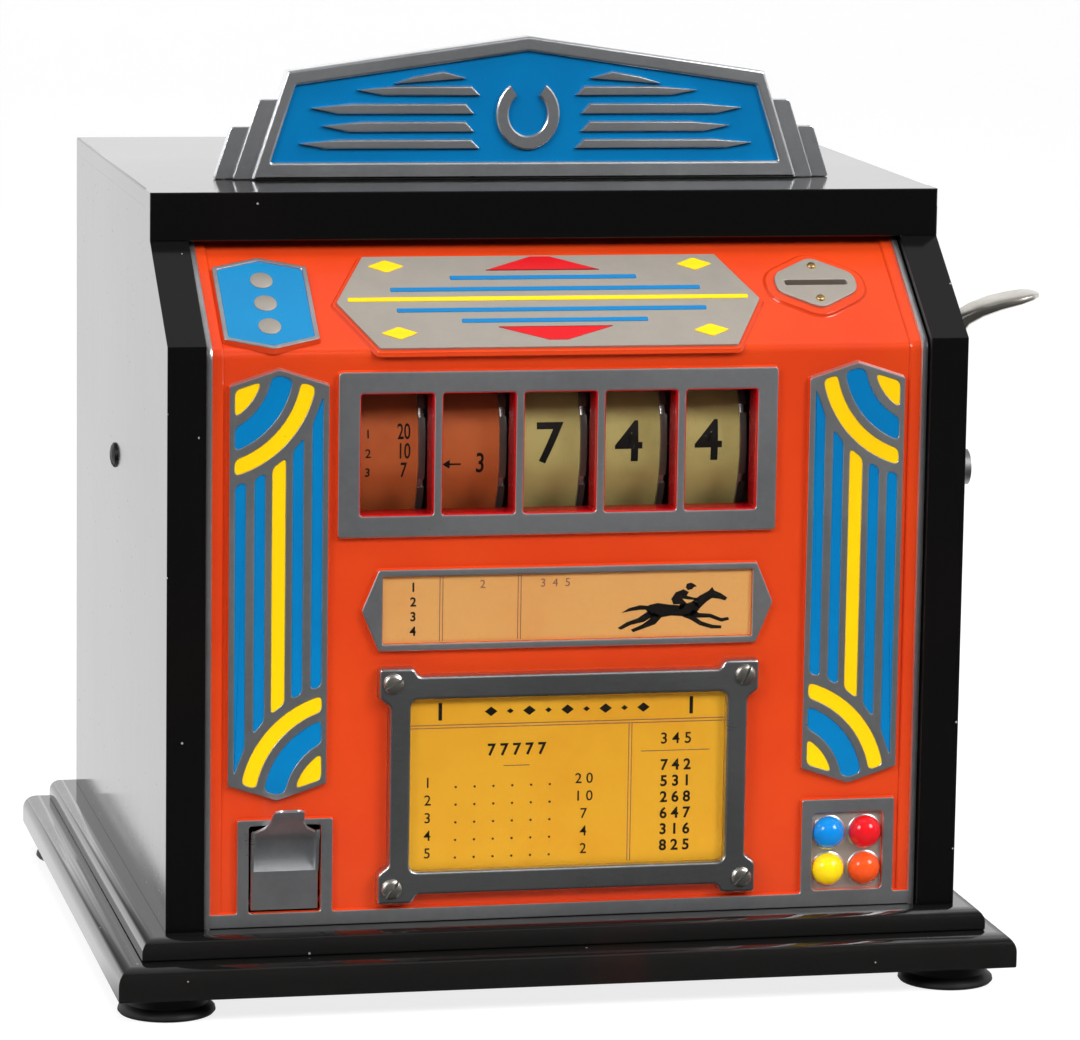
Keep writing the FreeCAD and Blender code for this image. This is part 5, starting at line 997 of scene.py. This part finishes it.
# Gum door: a small plated scoop that tips forward on a pin at its foot. Its lower half is flat,
# its upper half is hollowed for a finger and ends in a curled tab.
GUM_X = -96.3
gum_door = bmesh.new()
DOOR_RUN = ((-116.0, 33.8, 11.4), (-116.0, 47.0, 11.4), (-115.6, 47.8, 11.4), (-114.6, 50.2, 11.3),
            (-114.3, 53.6, 11.2), (-115.0, 57.2, 11.0), (-117.0, 60.2, 10.4), (-119.0, 62.0, 7.2),
            (-121.2, 64.6, 5.6), (-124.2, 67.4, 5.5), (-126.6, 69.0, 5.0), (-127.8, 69.5, 3.9),
            (-128.3, 69.6, 2.4))
loops = []
for index, (y, z, half) in enumerate(DOOR_RUN):
    before = Vector(DOOR_RUN[max(0, index - 1)][:2])
    after = Vector(DOOR_RUN[min(len(DOOR_RUN) - 1, index + 1)][:2])
    along = (after - before).normalized()
    thick = Vector((along.y, -along.x)) * (1.2 if index < 8 else 1.0)
    ring = [(-half, 0.15), (-half + 0.2, 0), (half - 0.2, 0), (half, 0.15), (half, 0.85), (half - 0.2, 1),
            (-half + 0.2, 1), (-half, 0.85)]
    corners = [gum_door.verts.new((GUM_X + x, y + thick.x * part, z + thick.y * part)) for x, part in ring]
    loops.append([gum_door.edges.new(pair) for pair in zip(corners, corners[1:] + corners[:1])])
for loop, following in zip(loops, loops[1:]):
    bmesh.ops.bridge_loops(gum_door, edges=loop + following)
for loop in (loops[0], loops[-1]):
    bmesh.ops.contextual_create(gum_door, geom=loop)
CHEEK = ((-116.2, 46.8), (-114.6, 49.4), (-114.1, 53.6), (-114.9, 57.4), (-117.2, 60.6), (-119.2, 61.6),
         (-119.4, 60.6), (-118.0, 57.5), (-117.2, 53.0))
for side in (-11.5, 10.5):
    cheek = [gum_door.verts.new((GUM_X + side, y, z)) for y, z in CHEEK]
    face = gum_door.faces.new(cheek)
    made = bmesh.ops.extrude_face_region(gum_door, geom=[face])["geom"]
    bmesh.ops.translate(gum_door, vec=(1.0, 0, 0),
                        verts=[part for part in made if isinstance(part, bmesh.types.BMVert)])
bmesh.ops.create_cone(gum_door, cap_ends=True, segments=24, radius1=2.4, radius2=2.4, depth=22.6,
                      matrix=Matrix.Translation((GUM_X, -113.4, 36.4)) @ Matrix.Rotation(math.pi / 2, 4, "Y"))
set_down("gum_door_plated", gum_door, MM, "scoop", [bare], 40, ["gum_door"])

# Reels: light drums with printed paper strips. The first has three rows of small figures, the
# second an arrow and a figure, and the other three one large figure at each stop.
reel_orange = paper("reel_orange_paper", (0.72, 0.155, 0.04, 1), (0.56, 0.10, 0.026, 1), 0.4)
reel_buff = paper("reel_buff_paper", (0.68, 0.54, 0.20, 1), (0.52, 0.40, 0.14, 1), 0.5)
REEL_Y, REEL_Z, STRIP_RADIUS = -66.1, 188.0, 37.9
AXLE = Matrix.Translation((0, REEL_Y, REEL_Z)) @ Matrix.Rotation(math.pi / 2, 4, "Y")


def round_drum(shape, lift):
    """Wraps a flat drawing, across and up in millimetres, round the drum."""
    low = math.floor(min(corner.co.y for corner in shape.verts) / 1.5)
    high = math.ceil(max(corner.co.y for corner in shape.verts) / 1.5)
    for cut in range(low, high + 1):
        geometry = shape.verts[:] + shape.edges[:] + shape.faces[:]
        bmesh.ops.bisect_plane(shape, geom=geometry, plane_co=(0, cut * 1.5, 0), plane_no=(0, 1, 0))
    for corner in shape.verts:
        angle = corner.co.y / STRIP_RADIUS
        radius = STRIP_RADIUS + lift + corner.co.z
        corner.co = (corner.co.x, REEL_Y - radius * math.cos(angle), REEL_Z + radius * math.sin(angle))


STOP = math.tau * STRIP_RADIUS / 5
FIRST = (("20", "10", "7"), ("30", "12", "6"), ("15", "8", "5"), ("10", "5", "3"), ("6", "4", "2"))
LARGE = ("74536", "41786", "45218")
for number, middle in enumerate(REEL_X, start=1):
    strip = bmesh.new()
    left = middle - 11.95
    bore = STRIP_RADIUS - 0.26
    profile = [(bore, left), (STRIP_RADIUS, left), (STRIP_RADIUS, left + 21.4), (bore, left + 21.4),
               (bore, left)]
    turned(strip, profile, AXLE, 96)
    set_down("reel_strip_paper_%d" % number, strip, MM, "reel_%d" % number,
             [reel_orange if number < 3 else reel_buff], 40, ["reel_strip_%d" % number])
    rim = bmesh.new()
    profile = [(36.8, left + 21.3), (38.3, left + 21.5), (38.7, left + 22.0), (38.7, left + 22.6),
               (38.3, left + 23.0), (36.8, left + 23.1), (36.8, left + 21.3)]
    turned(rim, profile, AXLE, 96)
    set_down("reel_rim_%d" % number, rim, MM, "reel_%d" % number, [bare], 40)
    ring = bmesh.new()
    for stop in range(5):
        up = stop * STOP - 1.0
        if number == 1:
            for line, (label, words) in enumerate(zip("123", FIRST[stop])):
                printed(ring, words, middle + 4.6, up + 6.6 - line * 6.6, 7.4, 0, 0.1, 0.62)
                printed(ring, label, middle - 7.6, up + 6.0 - line * 6.6, 4.2, 0, 0.05)
        elif number == 2:
            inked(ring, [(middle - 10, up - 4.6), (middle - 7.4, up - 3), (middle - 7.4, up - 6.2)], 0)
            rule(ring, middle - 8, middle - 3.6, up - 4.9, up - 4.3, 0)
            printed(ring, "31254"[stop], middle + 3.0, up - 4.6, 9.6, 0, 0.12, 0.7)
        else:
            printed(ring, LARGE[number - 3][stop], middle - 1.2, up + 1.5, 19.5, 0, 0.28)
    round_drum(ring, 0.05)
    set_down("reel_print_%d" % number, ring, MM, "reel_%d" % number, [ink], 60)

# Sign on top: a cast and buffed peaked plate with two lower steps at each side, and a blue field.
# A horseshoe and speed lines stand on the field, and two lugs behind take screws.
SIGN_BACK, SIGN_WALL = 39, 7
SIGN = MM @ Matrix(((1, 0, 0, 0), (0, 0, -1, header_front + SIGN_BACK), (0, 1, 0, LID_TOP), (0, 0, 0, 1)))
sign = bmesh.new()
sign_field = [(-90, 6), (90, 6), (81.5, 32.5), (0, 44.3), (-81.5, 32.5)]
raised(sign, outlined([(-96.6, 0.05), (96.6, 0.05), (84.3, 37.4), (0, 49.45), (-84.3, 37.4)], 0.8),
       [outlined(sign_field, 0.8)], low=-SIGN_WALL, high=0, draft=0.0, edge=0.9, floor=-2.4)
STEP_WIDE, LEAN = 14, 0.33
for half, shoulder, height in ((103.0, 27.6, -1.7), (109.2, 18.1, -3.4)):
    for way in (-1, 1):
        step = [(half - STEP_WIDE, 0.05), (half, 0.05), (half - shoulder * LEAN, shoulder),
                (half - STEP_WIDE - shoulder * LEAN, shoulder)]
        raised(sign, outlined([(x * way, y) for x, y in step], 1.3), low=-SIGN_WALL, high=height, draft=0,
               edge=0.4)
LUG_X, LUG_TALL = 64, 3.5
for x in (-LUG_X, LUG_X):
    lug = board((x - 8, 0.0, -SIGN_WALL - 16), (x + 8, LUG_TALL, 0.1 - SIGN_WALL))
    eased(lug, lug.edges[:], 0.6)
    joined(sign, lug)
set_down("sign_plate", sign, SIGN, "cabinet", [bare], 35, ["marquee"])
sign_blue = bmesh.new()
raised(sign_blue, outlined(grown(sign_field, 0.6), 0.8), low=-2.6, high=-1.5, draft=0, edge=0.05)
set_down("sign_blue_field", sign_blue, SIGN, "cabinet", [blue], 35)
ornament = bmesh.new()
SHOE = [(6.9, -1.6), (6.9, -0.3), (7.4, 0.1), (10.7, 0.1), (11.2, -0.3), (11.2, -1.6)]
corners = [ornament.verts.new((radius, 0, height)) for radius, height in SHOE]
heel = [ornament.edges.new(pair) for pair in zip(corners, corners[1:] + corners[:1])]
bent = bmesh.ops.spin(ornament, geom=corners + heel, cent=(0, 0, 0), axis=(0, 0, 1), steps=30,
                      angle=math.radians(290), use_merge=False, use_duplicate=False)["geom_last"]
other_heel = [part for part in bent if isinstance(part, bmesh.types.BMEdge)]
for loop in (heel, other_heel):
    bmesh.ops.contextual_create(ornament, geom=loop)
open_end_up = Matrix.Rotation(math.radians(125), 3, "Z")
bmesh.ops.rotate(ornament, cent=(0, 0, 0), matrix=open_end_up, verts=ornament.verts)
bmesh.ops.scale(ornament, vec=(1, 1.1, 1), verts=ornament.verts)
bmesh.ops.translate(ornament, vec=(0, 22.5, 0), verts=ornament.verts)
for way in (-1, 1):
    for y, start, end, half in ((12.2, 17, 80, 1.5), (18.2, 19, 72, 1.7), (24.4, 19, 76, 1.7),
                                (30.6, 17, 60, 1.5)):
        line = [(start, y - half), (end - 9, y - half), (end, y + half * 0.2), (end - 14, y + half),
                (start + 3, y + half)]
        raised(ornament, [(x * way, z) for x, z in line], low=-1.6, high=0.0, draft=0.3, edge=0.45)
    tip_line = [(22, 35.0), (47, 33.2), (40, 35.4), (30, 37.2)]
    raised(ornament, [(x * way, z) for x, z in tip_line], low=-1.6, high=0.0, draft=0.3, edge=0.3)
set_down("sign_ornament", ornament, SIGN, "cabinet", [bare], 35)

# Lever: a forged and plated hand lever outside the right side. Its arm rises from a round hub and
# turns outwards into a flat thumb pad.
lever = bmesh.new()
LEVER_Y, LEVER_Z, SIDES = -63, 172, 20
LEVER_RUN = ((144.6, 163.5, 4.0, 6.5), (144.6, 165.5, 6.5, 7.0), (144.6, 172, 7.4, 7.0),
             (144.7, 185, 5.8, 7.0), (144.9, 200, 4.9, 6.8), (145.3, 212, 4.6, 6.4),
             (147.4, 219.5, 5.0, 6.0), (151.2, 224.6, 6.0, 5.4), (156.5, 227.6, 7.6, 4.8),
             (163, 229.9, 9.2, 4.2), (170, 231.6, 9.9, 3.6), (174.6, 232.7, 8.8, 2.8),
             (177.3, 233.2, 6.2, 1.9), (178.2, 233.3, 3.4, 1.2))
loops = []
for index, (x, z, half, thick) in enumerate(LEVER_RUN):
    before = Vector(LEVER_RUN[max(0, index - 1)][:2])
    after = Vector(LEVER_RUN[min(len(LEVER_RUN) - 1, index + 1)][:2])
    along = (after - before).normalized()
    side = Vector((along.y, -along.x))
    corners = []
    for step in range(SIDES):
        angle = math.tau * step / SIDES
        wide = math.copysign(abs(math.cos(angle)) ** 0.55, math.cos(angle)) * half
        deep = math.copysign(abs(math.sin(angle)) ** 0.55, math.sin(angle)) * thick / 2
        corners.append(lever.verts.new((x + side.x * deep, LEVER_Y + wide, z + side.y * deep)))
    loops.append([lever.edges.new(pair) for pair in zip(corners, corners[1:] + corners[:1])])
for loop, following in zip(loops, loops[1:]):
    bmesh.ops.bridge_loops(lever, edges=loop + following)
for loop in (loops[0], loops[-1]):
    bmesh.ops.contextual_create(lever, geom=loop)
HUB = [(4.1, 0), (8.4, 0), (9, 0.6), (9, 8.0), (8.3, 8.8), (4.1, 8.9), (4.1, 0)]
hub_place = Matrix.Translation((HALF_WIDE + 0.7, LEVER_Y, LEVER_Z))
turned(lever, HUB, hub_place @ Matrix.Rotation(math.pi / 2, 4, "Y"))
set_down("lever_handle_plated", lever, MM, "lever", [nickel], 40, ["lever_handle"])

# Screws in the case: domed heads, blacked at the sides, where they hold the long rod between
# the panels, and plain ones under the feet, behind the sign and at the works' flanges.
blacked = polished("blacked_steel", (0.06, 0.06, 0.062, 1), (0.02, 0.02, 0.02, 1), 0.3)
DOMED = [(0, -9), (1.4, -9), (2, -7), (2, 0), (4.5, 0), (4.3, 0.7), (3.2, 1.4), (1.6, 1.75), (0, 1.8)]
ROD_Y, ROD_Z, FLANGE_Z, FOOT_DEEP = 10.3, 169.8, 30.5, 4.5
side_screws = bmesh.new()
for way in (-1, 1):
    place = Matrix.Translation((HALF_WIDE * way, ROD_Y, ROD_Z)) @ Matrix.Rotation(math.pi / 2 * way, 4, "Y")
    slotted(side_screws, place, 0.9 + 0.3 * way, DOMED)
for x in (-LUG_X, LUG_X):
    place = Matrix.Translation((x, header_front + SIGN_BACK + SIGN_WALL + 8, LID_TOP + LUG_TALL))
    slotted(side_screws, place, 0.4, DOMED)
for x, y in FEET_AT:
    place = Matrix.Translation((x, y, FOOT_DEEP)) @ Matrix.Rotation(math.pi, 4, "X")
    slotted(side_screws, place, 0.8, DOMED)
for x in (-84.7, 81.3):
    slotted(side_screws, Matrix.Translation((x, 0, FLANGE_Z)), 0.9, DOMED)
set_down("wood_screws_domed", side_screws, MM, "cabinet", [blacked], 40, ["wood_screws"])

# Works, hinges and lock: plain steel, brass and tinned sheet, seen through the windows and when
# the back is open. Their edges are eased and their surfaces brushed.
tin = polished("tinned_sheet", (0.62, 0.61, 0.58, 1), (0.42, 0.41, 0.39, 1), 0.3)
plate_steel = polished("plate_steel", (0.46, 0.46, 0.47, 1), (0.32, 0.32, 0.33, 1), 0.32)
EASED = (("door_hinge_fixed", "cabinet", "brass", brass, 0.25),
         ("door_hinge_moving", "door", "brass", brass, 0.25),
         ("door_lock", "door", "brass", brass, 0.3), ("lock_cam", "cam", "brass", brass, 0.25),
         ("mech_plate_left", "cabinet", "plate_steel", plate_steel, 0.25),
         ("mech_plate_right", "cabinet", "plate_steel", plate_steel, 0.25),
         ("cash_box", "box", "tinplate", tin, 0.2), ("gum_hopper", "cabinet", "tinplate", tin, 0.2),
         ("gum_chute", "cabinet", "tinplate", tin, 0.2), ("coin_chute", "cabinet", "tinplate", tin, 0.2),
         ("lever_bush", "cabinet", "brass", brass, 0.3), ("gum_wheel", "wheel", "cast_aluminium", satin, 0.3))
for node, body, slot, finish, edge in EASED:
    set_down(node + "_eased", softened(node, edge), IN_PLACE, body, [finish], 35, [node])
PLAIN = {"cross_rods": steel, "reel_shaft": steel, "lever_shaft": steel, "lever_spring": steel,
         "drive_gear": steel, "kicker_bail": steel, "gum_rod": steel, "gum_door_pin": steel}
for number in range(1, 6):
    PLAIN["stop_finger_%d" % number] = steel
    PLAIN["reel_drum_%d" % number] = tin
for node, finish in PLAIN.items():
    finished(node, finish)
